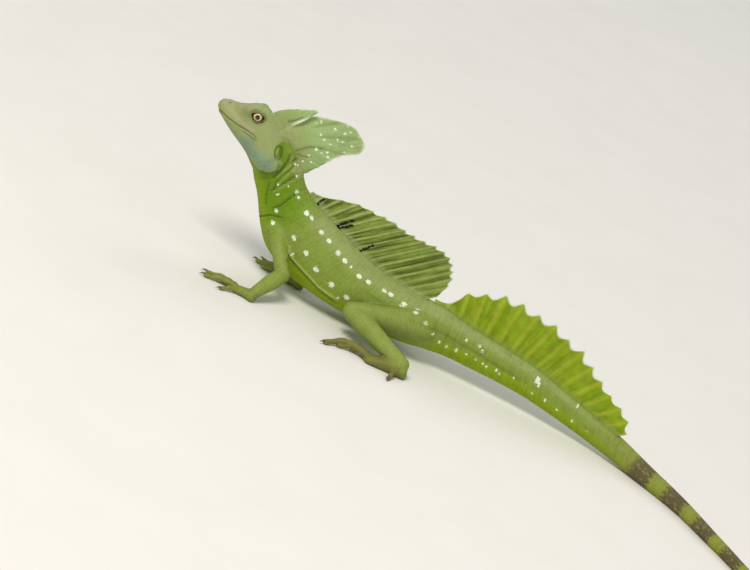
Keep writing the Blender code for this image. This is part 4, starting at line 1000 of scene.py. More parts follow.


# What lies on what, lowest first; each is a colour of the skin and how fully it covers.
# crease lays painted shade; ridge lays a pale flank line and painted highlight on the neck's ridges.
LAYERS = (("belly", 0.9), ("neck", 0.9), ("back", 0.8), ("head", 0.95), ("jowl", 0.75), ("lip", 0.55),
          ("crest", 0.95), ("limb", 0.8), ("foot", 0.92), ("pale", 0.75), ("band", 0.93), ("crease", 0.75),
          ("ridge", 0.7), ("spot", 0.95))


def shade(name, description, code):
    """A colour of the panel, from an sRGB hex value."""
    return FloatVectorProperty(name=name, description=description, size=4, subtype="COLOR", default=linear(code))


def spacing(name, description, default, low=0.8, high=4.0):
    """A size of the panel in millimetres."""
    return FloatProperty(name=name, description=f"{description} in millimetres", default=default, min=low, max=high)


class BasiliskColours(PropertyGroup):
    """Colours of skin, sails, claws and floor."""

    flank: shade("Flank", "Side of the trunk", "#7e923b")
    belly: shade("Belly", "Belly and underside of the tail", "#88a000")
    neck: shade("Neck", "Neck and throat", "#648604")
    # back: paler, greyer green laid over the top of neck, trunk and tail base, by angle from the ridge.
    back: shade("Back", "Dusty strip along the back", "#93a062")
    head: shade("Head", "Snout, crown and cheeks", "#919a64")
    jowl: shade("Jowl", "Blue-green patch under the jaw", "#6f8d7c")
    lip: shade("Lip", "Pale band over the mouth", "#a9a283")
    crest: shade("Crest", "Head crest", "#98af74")
    limb: shade("Limbs", "Arms and legs", "#889748")
    foot: shade("Feet", "Hands, feet and toes", "#77753a")
    pale: shade("Tail end", "Dry tail between its bands", "#8a8d40")
    band: shade("Tail bands", "Dark bands of the tail", "#5f503d")
    # Painted shade: the dark colour laid in folds, along the mouth, round eye and ear and in hollows.
    crease: shade("Creases", "Deep folds and the mouth", "#3f4f14")
    # A pale line on the flank's ridge, and painted highlight on the neck's ridges beside its grooves.
    ridge: shade("Flank ridge", "Pale ridge low on the flank", "#b9c37c")
    spot: shade("Spots", "White spots", "#e2ebd4")
    web: shade("Sail web", "Web between the rays of the back sail", "#3b4c08")
    ray: shade("Sail rays", "Rays of the back sail", "#859841")
    # Painted light: the tail sail's own green made more vivid, for light shining through it.
    fin: shade("Tail sail", "Web of the tail sail", "#769000")
    claw: shade("Claws", "Horn of the claws", "#6b5c3e")
    floor: shade("Floor", "Studio floor", "#ecebe6")


class BasiliskForm(PropertyGroup):
    """Sizes of skin and scales."""

    voxel: spacing("Skin grain", "Size of the remesh cells", 0.62, 0.4, 2.0)
    skin_faces: IntProperty(name="Skin triangles", description="Most triangles the skin keeps",
                            default=190000, min=20000)
    coat: spacing("Scale depth", "How far the skin lies under the scales' backs", 0.15, 0.0, 0.5)
    body_scale: spacing("Body scale", "Spacing of the body's scales", 1.35)
    tail_scale: spacing("Tail scale", "Spacing of the tail's scales", 1.5)
    head_scale: spacing("Head scale", "Spacing of the head's scales", 1.1, 0.6)
    paw_scale: spacing("Paw scale", "Spacing of the scales of hands and feet", 1.15, 0.6)


def feed(tree, node, inputs):
    """Sets a node's inputs, each to a value or to the socket that feeds it."""
    for key, value in inputs.items():
        if isinstance(value, NodeSocket):
            tree.links.new(value, node.inputs[key])
        else:
            node.inputs[key].default_value = value


def add_node(tree, kind, inputs, **settings):
    """Adds a node with its settings and inputs, and returns it."""
    node = tree.nodes.new(f"ShaderNode{kind}")
    for key, value in settings.items():
        setattr(node, key, value)
    feed(tree, node, inputs)
    return node


def new_material(name):
    """An empty node material, its tree and its Principled shader."""
    made = bpy.data.materials.new(name)
    made.use_nodes = True
    return made, made.node_tree, made.node_tree.nodes["Principled BSDF"]


def object_place(tree):
    """The place on the object, in metres."""
    return add_node(tree, "TexCoord", {}).outputs["Object"]


def per_mm(size):
    """Texture scale whose cells are that many millimetres across, on Object coordinates in metres."""
    return 1 / (size * MM)


def marked(tree, name):
    """What an attribute says."""
    return add_node(tree, "Attribute", {}, attribute_name=name).outputs["Fac"]


def maths(tree, operation, *inputs):
    """One sum of up to three inputs."""
    return add_node(tree, "Math", dict(enumerate(inputs)), operation=operation).outputs[0]


def mapped(tree, *inputs):
    """A value taken from one range (its next two inputs) to another (the last two, or 0 to 1)."""
    keys = ("Value", "From Min", "From Max", "To Min", "To Max")
    return add_node(tree, "MapRange", dict(zip(keys, inputs))).outputs[0]


def noise(tree, place, size, detail=3.0, rough=0.5):
    """Cloudy noise with blotches of a size in millimetres."""
    return add_node(tree, "TexNoise", {"Scale": per_mm(size), "Detail": detail, "Roughness": rough,
                                       "Vector": place}).outputs["Fac"]


def blended(tree, share, under, over):
    """One colour laid over another by a share."""
    return add_node(tree, "Mix", {0: share, 6: under, 7: over}, data_type="RGBA").outputs[2]


def layered(tree, colour, layers):
    """Colours laid over a first one, each by its cover times its own attribute."""
    for name, cover, over in layers:
        colour = blended(tree, maths(tree, "MULTIPLY", marked(tree, name), cover), colour, over)
    return colour


def mottled(tree, colour, place, strength, tint=False):
    """Colour with soft blotches a few millimetres wide and grain under one, and each scale's own tint."""
    blotch = noise(tree, place, 7.0, rough=0.6)
    both = maths(tree, "ADD", blotch, maths(tree, "MULTIPLY", noise(tree, place, 0.8, 2.0), 0.5))
    if tint:
        both = maths(tree, "ADD", both, maths(tree, "MULTIPLY", marked(tree, "tint"), 0.35))
    value = mapped(tree, both, 0.45, 1.05, 1 - strength, 1 + strength)
    hue = mapped(tree, blotch, 0.3, 0.7, 0.488, 0.512)
    return add_node(tree, "HueSaturation", {"Hue": hue, "Value": value, "Color": colour}).outputs[0]


def skin_material(name, base, grain, relief=0.35, tint=False):
    """Living reptile skin: dry keratin over soft tissue, so a broad dull sheen and fine pebbled relief."""
    made, tree, shader = new_material(name)
    place = object_place(tree)
    colours = bpy.context.scene.basilisk_colours
    layers = [(layer, cover, tuple(getattr(colours, layer))) for layer, cover in LAYERS]
    cells = add_node(tree, "TexVoronoi", {"Scale": per_mm(grain), "Vector": place}, feature="SMOOTH_F1")
    fine = noise(tree, place, 0.35, 2.0)
    height = maths(tree, "MULTIPLY_ADD", cells.outputs["Distance"], -1.0, fine)
    lift = add_node(tree, "Bump", {"Strength": relief, "Distance": 0.25 * MM, "Height": height})
    feed(tree, shader, {"Base Color": mottled(tree, layered(tree, tuple(base), layers), place, 0.2, tint),
                        "Normal": lift.outputs[0], "Roughness": mapped(tree, fine, 0.0, 1.0, 0.42, 0.62),
                        "Specular IOR Level": 0.2, "IOR": 1.5})
    return made


def dress(obj, material, slot_name, *nodes):
    """Gives a finished piece its material and its ride on the frame, and hides the nodes it stands for; its slot name
    is not used.
    """
    obj.data.materials.clear()
    obj.data.materials.append(material)
    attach(obj, "root")
    if nodes:
        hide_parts(*nodes)


FLESH_NODES = ("head", "jaw", "crest", "brow_crest", "neck", "torso", "tail_1", "tail_2", "tail_3", "tail_4",
               *(f"{part}_{side}" for part in ("upper_arm", "forearm", "hand", "thigh", "shin", "foot")
                 for side in SIDES))


class BASILISK_OT_skin(Operator):
    """Joins all flesh under one skin and paints it."""

    bl_idname = "basilisk.skin"
    bl_label = "Skin"

    def execute(self, context):
        form, colours = context.scene.basilisk_form, context.scene.basilisk_colours
        skin = build_skin(form.voxel, form.skin_faces, form.coat)
        put_values(skin.data, markings(mesh_points(skin.data)))
        dress(skin, skin_material("granular_reptile_skin", colours.flank, 0.95), "skin_green", *FLESH_NODES)
        return {"FINISHED"}


# Lines of dark flecks near the foot of the back sail (x, z).
SPECK_LINES = (((-124.0, 66.0), (-121.2, 68.5), (-119.0, 74.5)), ((-101.5, 61.4), (-97.8, 65.4), (-94.0, 69.4)),
               ((-103.6, 57.6), (-100.0, 60.2), (-93.2, 65.5)), ((-79.0, 53.0), (-74.0, 59.6)),
               ((-82.4, 50.4), (-81.0, 51.6)))


def sail_object(kind):
    """A sail as a closed sheet, with attributes for rays, rim and dark flecks."""
    rays = SAILS[kind]["rays"] - 1
    share, out = np.meshgrid(np.linspace(0, 1, rays * RAY_STEPS + 1), np.linspace(0, 1, SAILS[kind]["rows"]),
                             indexing="ij")
    middle, half, near_ray, long = sail_points(kind, share, out)
    made = new_object(f"{kind}_sail_membrane", *sheet_mesh(middle, half))
    rear = 1.8 * ease(share, 0.62, 0.85) * (kind == "back")  # the back sail is lighter to the rear
    values = {"ray": bump(near_ray, RAY_WIDTH), "rim": ease(1.1 - (1 - out) * long, 0.0, 0.5) * ease(long, 2.5, 9.0),
              "rootward": ease(1 - out * long / 6.0, 0.0, 1.0), "outward": np.maximum(out, rear),
              "across": share * rays, "down": 0.3 * out}
    put_values(made.data, {name: np.tile(numbers.ravel(), 2) for name, numbers in values.items()})
    flat = side_view(mesh_points(made.data))
    specks = [bump(line_distance(flat, line)[0], 1.7) for line in SPECK_LINES]
    put_values(made.data, {"speck": np.max(specks, axis=0) * (kind == "back")})
    return made


def sail_material(name, web, ray, bright, root):
    """Thin skin on rays: dark web streaked with painted light and shade of fine folds, ridged rays with painted
    highlight, a whitish rim, a few black flecks.
    """
    made, tree, shader = new_material(name)
    place = object_place(tree)
    laid = add_node(tree, "CombineXYZ", {0: marked(tree, "across"), 1: marked(tree, "down")}).outputs[0]
    pleat_shade = add_node(tree, "TexNoise", {"Scale": 2.6, "Detail": 3.0, "Roughness": 0.65, "Vector": laid},
                      noise_dimensions="2D").outputs["Fac"]
    # Streaks of web and ray colours along the rays: painted light and shade of fine folds.
    colour = blended(tree, mapped(tree, pleat_shade, 0.4, 0.58), tuple(web), tuple(ray))
    # The rays' bright colour, laid by the ray layer, is painted highlight.
    layers = (("outward", 0.25, tuple(ray)), ("ray", 0.8, bright), ("rootward", 0.8, tuple(root)))
    colour = layered(tree, colour, layers)
    speck = mapped(tree, maths(tree, "MULTIPLY", marked(tree, "speck"), noise(tree, place, 1.7)), 0.36, 0.4)
    colour = blended(tree, speck, colour, linear("#10140a"))
    colour = blended(tree, marked(tree, "rim"), colour, linear("#e4ead6"))
    cells = add_node(tree, "TexVoronoi", {"Scale": per_mm(0.9), "Vector": place})
    lift = add_node(tree, "Bump", {"Strength": 0.4, "Distance": 0.25 * MM, "Height": cells.outputs["Distance"]},
                    invert=True)
    feed(tree, shader, {"Base Color": mottled(tree, colour, place, 0.26), "Normal": lift.outputs[0], "Roughness": 0.5,
                        "Specular IOR Level": 0.2, "Subsurface Weight": 0.15,
                        "Subsurface Radius": (0.6, 1.0, 0.2), "Subsurface Scale": 1.0 * MM})
    return made


class BASILISK_OT_sails(Operator):
    """Makes the sails of back and tail with their rays."""

    bl_idname = "basilisk.sails"
    bl_label = "Sails"

    def execute(self, context):
        colours = context.scene.basilisk_colours
        # a5b46c is painted highlight on the back sail's rays.
        material = sail_material("ribbed_sail_skin", colours.web, colours.ray, linear("#a5b46c"), colours.back)
        dress(sail_object("back"), material, "sail_green", "back_sail")
        # The tail sail's web colour carries painted light shining through it; #a3b02e is painted highlight on its
        # rays.
        material = sail_material("bright_sail_skin", colours.fin, linear("#8ea31a"), linear("#a3b02e"), colours.flank)
        dress(sail_object("tail"), material, "sail_green", "tail_sail")
        return {"FINISHED"}


def side_height(x, z, around):
    """How far out the head's skin lies at places of the side view, from the nearest of its own points."""
    share, angle = np.meshgrid(np.linspace(0, 1, 260), np.linspace(0.2, math.pi - 0.2, 150), indexing="ij")
    skin = head_points(share, angle).reshape(-1, 3)
    skin = skin[np.hypot(skin[:, 0] - around[0], skin[:, 2] - around[1]) < 13]
    far = (x[..., None] - skin[:, 0]) ** 2 + (z[..., None] - skin[:, 2]) ** 2
    weight = 1 / (far + 0.05) ** 2
    return (weight * skin[:, 1]).sum(-1) / weight.sum(-1)


LID_TILT = 8.0  # degrees
LID_OPENING = (4.05, 3.15)  # half its length and height
LID_OUTER = (7.4, 5.1, 6.3)  # to both sides, above and below
LID_THICK = 0.5
LID_STEPS = 17  # points from the opening to the outer edge


def lid_points(side):
    """Both eyelids as one closed ring round the eye.

    Outwards from the almond opening the surface leaves the eyeball as a rounded rim, runs over three low
    ring folds, never lower than the ball, and sinks in the skin; then it comes back underneath.
    """
    steps = np.arange(2 * LID_STEPS)
    around, across = np.meshgrid(np.linspace(0, TURN, 112, endpoint=False), steps, indexing="ij")
    t = np.minimum(across, steps[-1] - across) / (LID_STEPS - 1)
    corner = 1 + 0.16 * bump(np.abs(around - math.pi), 0.4) + 0.1 * bump(np.minimum(around, TURN - around), 0.4)
    opening = corner / np.hypot(np.cos(around) / LID_OPENING[0], np.sin(around) / LID_OPENING[1])
    upper = ease(np.sin(around), -0.2, 0.5)
    high = LID_OUTER[2] + (LID_OUTER[1] - LID_OUTER[2]) * upper
    outer = 1 / np.hypot(np.cos(around) / LID_OUTER[0], np.sin(around) / high)
    far = opening + (outer - opening) * t
    x, z = tilted(far * np.cos(around), far * np.sin(around), LID_TILT, (EYE[0], EYE[2]))
    ball = EYE[1] + np.sqrt(np.maximum((EYEBALL + 0.25) ** 2 - far**2, 0.4))
    rim = (0.5 + 0.35 * upper) * bump(t - 0.1, 0.1)
    folds = 0.16 * np.cos(t * TURN * 3.4) * ease(t, 0.18, 0.3) * ease(1 - t, 0.1, 0.3)
    blend = ease(t, 0.12, 0.75)
    y = ball * (1 - blend) + (side_height(x, z, (EYE[0], EYE[2])) + 0.1) * blend
    short = np.where(far < EYEBALL + 0.3, ball - y, -9.0)
    y = y + (short + np.sqrt(short**2 + 0.2)) / 2 + rim + folds - 0.9 * ease(t, 0.82, 1.0)
    return xyz(x, side * np.where(across >= LID_STEPS, y - LID_THICK - 0.4 * t, y), z)


class BASILISK_OT_lids(Operator):
    """Makes the eyelids with their thick rims and folds."""

    bl_idname = "basilisk.lids"
    bl_label = "Eyelids"

    def execute(self, context):
        made = skin_material("folded_eyelid_skin", context.scene.basilisk_colours.head, 0.7)
        for name, side in SIDES.items():
            grid = lid_points(side)
            rows, columns = grid.shape[:2]
            faces = grid_faces(rows + 1, columns, True) % (rows * columns)
            lids = new_object(f"eyelids_{name}", grid.reshape(-1, 3), [faces])
            put_values(lids.data, markings(mesh_points(lids.data)))
            dress(lids, made, "skin_pale")
        return {"FINISHED"}


def eye_material():
    """Wet living eye: black pupil, gold iris with fine spokes and a dark rim, under a clear glossy cornea."""
    made, tree, shader = new_material("wet_eye")
    streak = add_node(tree, "TexNoise", {"Scale": 9.0, "Detail": 3.0, "W": marked(tree, "spoke")},
                      noise_dimensions="1D").outputs["Fac"]
    ramp = add_node(tree, "ValToRGB", {"Fac": maths(tree, "MULTIPLY_ADD", streak, 0.05, marked(tree, "gaze"))})
    stops = ((0.0, "#050403"), (0.38, "#050403"), (0.41, "#b08a3c"), (0.46, "#f3e0a4"), (0.60, "#e8c97c"),
             (0.69, "#a0662a"), (0.80, "#4a2410"), (1.0, "#2a180c"))
    elements = ramp.color_ramp.elements
    while len(elements) < len(stops):
        elements.new(0.5)
    for element, (position, code) in zip(elements, stops):
        element.position = position
        element.color = linear(code)
    feed(tree, shader, {"Base Color": ramp.outputs[0], "Roughness": 0.18, "Coat Weight": 1.0, "Coat Roughness": 0.03,
                        "IOR": 1.38})
    return made


class BASILISK_OT_eyes(Operator):
    """Makes both eyeballs, each with a bulging cornea."""

    bl_idname = "basilisk.eyes"
    bl_label = "Eyes"

    def execute(self, context):
        made = eye_material()
        off, around = mesh_grid(0.03, math.pi - 0.03, 64, 72)
        radius = EYEBALL - 0.2 + 0.45 * bump(off, 0.75)
        for name, side in SIDES.items():
            points = xyz(EYE[0] + radius * np.sin(off) * np.cos(around), side * (EYE[1] + radius * np.cos(off)),
                         EYE[2] + radius * np.sin(off) * np.sin(around))
            ball = new_object(f"eyeball_{name}", *tube_mesh(points))
            put_values(ball.data, {"gaze": np.append(off, [0.0, math.pi]), "spoke": np.append(around, [0.0, 0.0])})
            dress(ball, made, "eye_gold", f"eye_{name}")
        return {"FINISHED"}


class BASILISK_OT_ears(Operator):
    """Makes the thin drum at the bottom of each ear cup."""

    bl_idname = "basilisk.ears"
    bl_label = "Ear drums"

    def execute(self, context):
        made, tree, shader = new_material("taut_ear_drum")  # thin stretched skin, a little shinier than the scales
        feed(tree, shader, {"Base Color": mottled(tree, linear("#7d9638"), object_place(tree), 0.15),
                            "Roughness": 0.35})
        off, around = mesh_grid(0.04, math.pi - 0.04, 24, 40)
        across, along = (size * 1.02 * np.sin(off) * turn(around) for size, turn in zip(EAR_SIZE, (np.cos, np.sin)))
        x, z = tilted(across, along, EAR_LEAN, EAR)
        y = side_height(x, z, EAR) - 1.25 + 0.35 * np.cos(off)
        for name, side in SIDES.items():
            dress(new_object(f"ear_drum_{name}", *tube_mesh(xyz(x, side * y, z))), made, "skin_pale")
        return {"FINISHED"}


def claw_points(plan):
    """Claw of a digit: rings along a hook that rises, then bends down to a point, taller than wide."""
    path, _ = digit_line(plan, np.array([0.9, 1.0]))
    toward = unit((path[1] - path[0]) * (1, 1, 0))
    share, angle = mesh_grid(0.0, 1.0, 16, 12)
    rise = 0.3 + 1.3 * np.sin(share * math.pi * 0.62) - 2.0 * share**2
    width = plan[3] * (0.62 * (1 - share) ** 0.75 + 0.03)
    points = path[1] + by(toward, CLAW * (share * 1.12 - 0.12))
    points = points + by(np.cross(toward, UP), width * 0.78 * np.cos(angle)) + by(UP, rise + width * np.sin(angle))
    return grounded(points, 0.02)


class BASILISK_OT_claws(Operator):
    """Makes all twenty claws."""

    bl_idname = "basilisk.claws"
    bl_label = "Claws"

    def execute(self, context):
        made, tree, shader = new_material("polished_horn")  # horn worn smooth, with a soft shine
        tone = tuple(context.scene.basilisk_colours.claw)
        feed(tree, shader, {"Base Color": mottled(tree, tone, object_place(tree), 0.3), "Roughness": 0.3,
                            "IOR": 1.54})
        parts = [tube_mesh(claw_points(plan)) for *_, plans in PAWS for plan in plans]
        dress(new_object("claws", *merged(parts)), made, "toe_olive")
        return {"FINISHED"}


# One scale: how far along, across and up each corner lies, as shares of its length, width and lift. The
# outline comes first, then two points along the keel and one sunk under it.
SCALE_CORNERS = ((-0.52, 0.0, -0.1), (-0.2, 0.5, 0.0), (0.3, 0.44, 0.28), (0.62, 0.0, 0.6), (0.3, -0.44, 0.28),
                 (-0.2, -0.5, 0.0), (-0.22, 0.0, 0.62), (0.36, 0.0, 1.0), (0.05, 0.0, -0.9))
SCALE_FACES = ((0, 6, 1), (1, 6, 7), (1, 7, 2), (2, 7, 3), (3, 7, 4), (4, 7, 5), (5, 7, 6), (5, 6, 0), (0, 1, 8),
               (1, 2, 8), (2, 3, 8), (3, 4, 8), (4, 5, 8), (5, 0, 8))
SUNK = 0.25  # depth of the point under a scale for each of its shares
PATCH = 0.0024  # width of a scale's own patch on the bake map


def settled(points, skin):
    """Points drawn to the skin's nearest places, with the skin's normals there."""
    found = []
    for lift in (0.0, 1.0):
        mesh = bpy.data.meshes.new("roots")
        mesh.vertices.add(len(points))
        move_points(mesh, points)
        roots = linked("roots", mesh)
        wrap = roots.modifiers.new("settle", "SHRINKWRAP")
        wrap.target = skin
        wrap.wrap_method = "NEAREST_SURFACEPOINT"
        wrap.wrap_mode = "ABOVE_SURFACE"
        wrap.offset = lift * MM
        done = evaluated_mesh(roots)
        found.append(mesh_points(done))
        bpy.data.meshes.remove(done)
        bpy.data.objects.remove(roots)
        bpy.data.meshes.remove(mesh)
    return found[0], unit(found[1] - found[0])


def scatter(form, start, end, pitch, across_share, turns, seed):
    """Scale roots in rings along a form, each ring's scales spread evenly round it and staggered by half.

    form(share, angle) gives points; rings stand a pitch apart along the form's middle, measured on the
    average of its sides, and the count in each ring is its girth over the scale's width.
    """
    rng = np.random.default_rng(seed)
    look, around = np.linspace(start, end, 400), np.linspace(*turns, 129)

    def strides(shares, axis):
        """Lengths between neighbours on a grid of the form's points, along it (0) or round it (1)."""
        sides = form(*np.meshgrid(shares, around, indexing="ij"))
        return np.linalg.norm(np.diff(sides, axis=axis), axis=2)

    run = np.concatenate([[0.0], np.cumsum(np.median(strides(look, 0), axis=1))])
    rows = np.interp(np.arange(0.5 * pitch, run[-1], pitch), run, look)
    girth = np.hstack([np.zeros((len(rows), 1)), np.cumsum(strides(rows, 1), axis=1)])
    counts = np.maximum(np.rint(girth[:, -1] / (pitch * across_share)).astype(int), 3)
    row = np.repeat(np.arange(len(rows)), counts)
    first = np.repeat(np.cumsum(counts) - counts, counts)
    slot = np.arange(counts.sum()) - first + 0.5 * (row % 2) + 0.25
    slot = slot + rng.uniform(-0.08, 0.08, len(slot))
    apart = 1e4  # more than any girth, so that one interpolation serves all rings
    want = slot / counts[row] * girth[row, -1] + row * apart
    level = (girth + np.arange(len(rows))[:, None] * apart).ravel()
    angle = np.interp(want, level, np.tile(around, len(rows)))
    share = rows[row] + rng.uniform(-0.06, 0.06, len(row)) * np.gradient(rows)[row]
    return share, angle, girth[row, -1] / counts[row]


def form_batch(form, start, end, pitch, across_share, seed, patch, turns=(0.0, TURN), keel=1.0, overlap=1.3):
    """Roots of one form with their direction towards its end, sizes, places on the bake map and keels."""
    share, angle, width = scatter(form, start, end, pitch, across_share, turns, seed)
    points = form(share, angle)
    ahead = form(share + 0.004 * (end - start), angle)
    u0, u1, v0, v1 = patch
    u = u0 + (u1 - u0) * (0.02 + 0.96 * (share - start) / (end - start))
    v = v0 + (v1 - v0) * (0.02 + 0.96 * (angle - turns[0]) / (turns[1] - turns[0]))
    lift = keel(share, angle) if callable(keel) else np.full(len(share), keel)
    return points, ahead - points, width, np.full(len(share), pitch * overlap), u, v, lift


def scale_coat(name, skin, batches, slot_name, material, lift=0.26, reach=0.9):
    """A coat piece from batches of roots: (points, along, width, length, unwrap u, unwrap v, keel).

    Each scale is root + along * run + across * side + normal * rise, over the corners of one scale. Roots far
    from the skin, on the floor, or over eye, ear and nostril are left out.
    """
    columns = [np.concatenate(column) for column in zip(*batches)]
    root, normal = settled(columns[0], skin)
    x, y, z = root.T
    eye = np.hypot(x - EYE[0], (z - EYE[2]) * EYE_OVAL)
    nose = np.hypot(x - NOSTRIL[0], z - NOSTRIL[2])
    holes = (x < HEAD_END) & (np.abs(y) > 3.0) & ((eye < EYE_BOWL) | (nose < 1.5) | (ear_distance(root) < 1.1))
    keep = (np.linalg.norm(root - columns[0], axis=1) < reach) & (z > 0.25) & ~holes
    root, normal, along, width, length, u, v, keel = (column[keep] for column in (root, normal, *columns[1:]))
    along = unit(along - normal * (along * normal).sum(1, keepdims=True))
    rng = np.random.default_rng(SEED + len(root))
    size = rng.uniform(0.92, 1.08, (len(root), 1))
    run, side, rise = np.array(SCALE_CORNERS).T
    high = np.maximum(rise, 0) * (lift * keel[:, None]) + np.minimum(rise, 0) * SUNK
    made = root[:, None] + by(along[:, None], run * (length[:, None] * size))
    made = made + by(np.cross(normal, along)[:, None], side * (width[:, None] * size)) + by(normal[:, None], high)
    faces = np.array(SCALE_FACES) + (np.arange(len(root)) * len(run))[:, None, None]
    coat = new_object(name, grounded(made).reshape(-1, 3), [faces.reshape(-1, 3)], outward=False)
    values = markings(root)
    rows = np.cos(body_coordinates(root)[0] * math.pi / 1.35)
    values["tint"] = rng.uniform(0, 0.5, len(root)) + 0.25 + 0.3 * rows
    values["band"] = values["band"] * (1 - 0.8 * rng.uniform(0, 1, len(root)) ** 6)
    put_values(coat.data, values, len(run))
    coat.data.set_sharp_from_angle(angle=math.radians(40))
    maps = np.stack([u[:, None] + run * PATCH, v[:, None] + side * PATCH], axis=-1).reshape(-1, 2)
    vertex = read(coat.data.loops, "vertex_index", 1, np.int32)[:, 0]
    layer = coat.data.uv_layers.new(name="OFBake")
    layer.data.foreach_set("uv", np.clip(maps[vertex], 0, 1).astype(np.float32).ravel())
    dress(coat, material, slot_name)


def crest_face(shape, side, share, out):
    """One face of a crest as a form: share runs along its edge, out from its root."""
    middle, half = shape(share, np.clip(out, 0, 1))
    return middle + by(np.array([0.0, side, 0.0]), half)


def back_keel(_, angle):
    """How high the body's keels stand: highest along the back."""
    return 0.55 + 0.75 * ease(1.2 - np.minimum(angle, TURN - angle), 0.0, 0.8)


class BASILISK_OT_scales(Operator):
    """Covers the skin with scales: keeled on back and tail, granular on the flanks, flat plates on the head."""

    bl_idname = "basilisk.scales"
    bl_label = "Scales"

    def execute(self, context):
        form, skin = context.scene.basilisk_form, bpy.data.objects["skin"]
        coarse = 1.0
        coat = skin_material("keeled_scales", context.scene.basilisk_colours.flank, 0.8, relief=0.2, tint=True)
        body, tail, head, paws = (size * coarse for size in (form.body_scale, form.tail_scale, form.head_scale,
                                                             form.paw_scale))
        whole, middle = (0.0, 1.0, 0.0, 1.0), TAIL_REACH + 150.0
        for seed, (name, slot_name, start, end, pitch, across, keel) in enumerate((
                ("trunk", "skin_green", REACH[1], TAIL_REACH, body, 0.86, back_keel),
                ("tail_front", "tail_green", TAIL_REACH, middle, tail, 0.85, 1.1),
                ("tail_rear", "tail_green", middle, REACH[-1], tail, 0.8, 1.2)), start=1):
            batch = form_batch(body_points, start, end, pitch, across, seed, whole, keel=keel)
            scale_coat(f"scales_{name}", skin, [batch], slot_name, coat)
        flat_plates = {"keel": 0.6, "overlap": 1.1}
        batch = form_batch(head_points, -0.6 * HEAD_CAP, 1.0, head, 1.0, 4, whole, **flat_plates)
        scale_coat("scales_head", skin, [batch], "skin_pale", coat, lift=0.2, reach=1.3)
        batches = []
        for row, (shape, root) in enumerate(((crest_points, 0.15), (brow_crest_points, 0.1))):
            for column, side in enumerate((-1, 1)):
                patch = (row / 2, (row + 1) / 2, column / 2, (column + 1) / 2)
                batches.append(form_batch(partial(crest_face, shape, side), 0.0, 1.0, head, 1.0, 5 + row, patch,
                                          turns=(root, 0.97), **flat_plates))
        scale_coat("scales_crest", skin, batches, "skin_pale", coat, lift=0.16, reach=1.3)
        for side in SIDES:
            forms = [partial(limb_points, *limb) for its, *limb in LIMBS if its == side]
            batches = [form_batch(shape, -0.1, 1.12, body * 0.95, 0.9, 7 + i, (i / 4, (i + 1) / 4, 0.0, 0.5),
                                  keel=0.8) for i, shape in enumerate(forms)]
            scale_coat(f"scales_limbs_{side}", skin, batches, "skin_green", coat)
            forms = []
            for its, palm, _, plans in PAWS:
                if its == side:
                    forms += [(palm, -0.15, 1.0), *((partial(digit_points, plan), 0.04, 0.99) for plan in plans)]
            batches = [form_batch(*ends, paws, 0.95, 20 + i, (i / 12, (i + 1) / 12, 0.0, 1.0), keel=0.6, overlap=1.2)
                       for i, ends in enumerate(forms)]
            scale_coat(f"scales_paws_{side}", skin, batches, "toe_olive", coat, lift=0.2)
        return {"FINISHED"}


PICTURE_POINT = (-60.2, 0.0, 34.05)  # what the picture's middle looks at
CAMERA_AWAY = 2.6
CAMERA_WIDE = 0.525
CAMERA_HEIGHT = 19.0  # degrees above the horizon
CAMERA_ROLL = 27.0
SENSOR = 36.0
FLOOR_HALF = 60.0


def add_area(name, spot, aim, size, power, tone):
    """A soft square light at a spot in metres, aimed at a point."""
    lamp = bpy.data.lights.new(name, "AREA")
    lamp.size, lamp.energy, lamp.color = size, power, linear(tone)[:3]
    turn = (Vector(aim) - Vector(spot)).to_track_quat("-Z", "Y").to_matrix().to_4x4()
    linked(name, lamp).matrix_world = Matrix.Translation(spot) @ turn


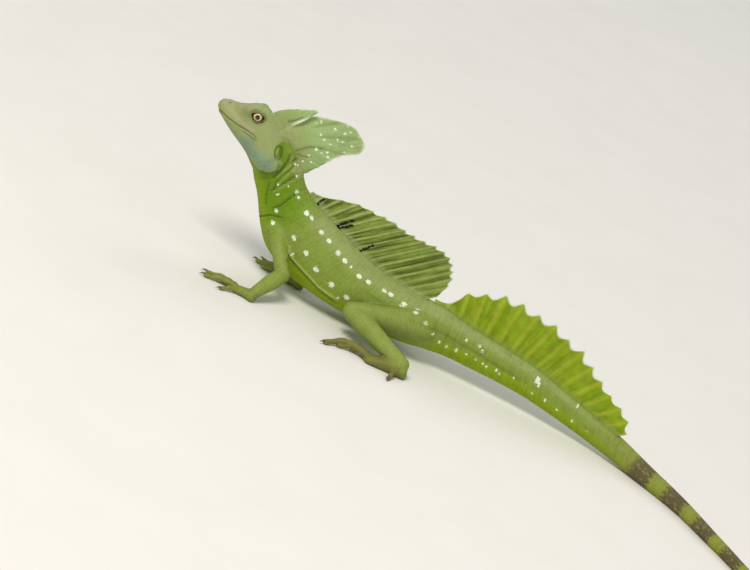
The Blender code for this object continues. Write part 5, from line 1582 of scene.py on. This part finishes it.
class BASILISK_OT_stage(Operator):
    """Makes the pale floor, the soft light and the camera."""

    bl_idname = "basilisk.stage"
    bl_label = "Stage"

    def execute(self, context):
        scene = context.scene
        corners = np.array([[-1, -1, 0], [1, -1, 0], [1, 1, 0], [-1, 1, 0]]) * FLOOR_HALF
        floor = linked("studio_floor", new_mesh("studio_floor", corners, [np.array([[0, 1, 2, 3]])]))
        paper, tree, shader = new_material("matt_studio_paper")  # pale paper that gives the lizard a soft shadow
        tone = blended(tree, noise(tree, object_place(tree), 60.0), linear("#f4f2ee"),
                       tuple(scene.basilisk_colours.floor))
        feed(tree, shader, {"Base Color": tone, "Roughness": 0.9, "Specular IOR Level": 0.2})
        floor.data.materials.append(paper)

        scene.world = bpy.data.worlds.new("studio_world")
        scene.world.use_nodes = True
        feed(scene.world.node_tree, scene.world.node_tree.nodes["Background"],
             {"Color": linear("#f1f0ec"), "Strength": 0.46})
        look = placed(PICTURE_POINT)
        add_area("key_light", look + (-0.75, -1.4, 2.2), look, 0.9, 44.0, "#fffaf0")
        add_area("fill_light", look + (1.6, -1.2, 1.0), look, 1.6, 4.0, "#f4f7ff")
        add_area("rim_light", look + (0.5, 1.5, 1.6), look, 1.3, 9.0, "#f8f8ff")
        scene.view_settings.view_transform = "Standard"

        tilt, roll = math.radians(CAMERA_HEIGHT), math.radians(CAMERA_ROLL)
        gaze = Vector((0.0, math.cos(tilt), -math.sin(tilt)))
        level = Vector((1.0, 0.0, 0.0))
        above = level.cross(gaze)
        right = level * math.cos(roll) + above * math.sin(roll)
        above = above * math.cos(roll) - level * math.sin(roll)
        lens = bpy.data.cameras.new("camera")
        lens.sensor_width = SENSOR
        lens.lens = SENSOR * CAMERA_AWAY / CAMERA_WIDE
        lens.clip_end = 200.0
        scene.camera = linked("camera", lens)
        turn = Matrix((right, above, -gaze)).transposed().to_4x4()
        scene.camera.matrix_world = Matrix.Translation(Vector(look) - gaze * CAMERA_AWAY) @ turn
        return {"FINISHED"}


OPERATORS = (BASILISK_OT_skin, BASILISK_OT_scales, BASILISK_OT_sails, BASILISK_OT_lids, BASILISK_OT_eyes,
             BASILISK_OT_ears, BASILISK_OT_claws, BASILISK_OT_stage)


class VIEW3D_PT_basilisk(Panel):
    """Lists the basilisk's pieces, sizes and colours."""

    bl_space_type = "VIEW_3D"
    bl_region_type = "UI"
    bl_category = "Basilisk"
    bl_label = "Plumed basilisk"

    def draw(self, context):
        layout = self.layout
        for kind in OPERATORS:
            layout.operator(kind.bl_idname)
        for settings in (context.scene.basilisk_form, context.scene.basilisk_colours):
            for key in settings.bl_rna.properties.keys():
                if key not in ("rna_type", "name"):
                    layout.prop(settings, key)


CLASSES = (BasiliskForm, BasiliskColours, *OPERATORS, VIEW3D_PT_basilisk)


def register():
    """Makes the settings, operators and panel known to Blender."""
    for kind in CLASSES:
        bpy.utils.register_class(kind)
    bpy.types.Scene.basilisk_form = PointerProperty(type=BasiliskForm)
    bpy.types.Scene.basilisk_colours = PointerProperty(type=BasiliskColours)


def unregister():
    """Takes them away again."""
    del bpy.types.Scene.basilisk_colours
    del bpy.types.Scene.basilisk_form
    for kind in reversed(CLASSES):
        bpy.utils.unregister_class(kind)


def main():
    """Makes every piece in order."""
    register()
    for kind in OPERATORS:
        group, name = kind.bl_idname.split(".")
        getattr(getattr(bpy.ops, group), name)()


if __name__ == "__main__":
    main()
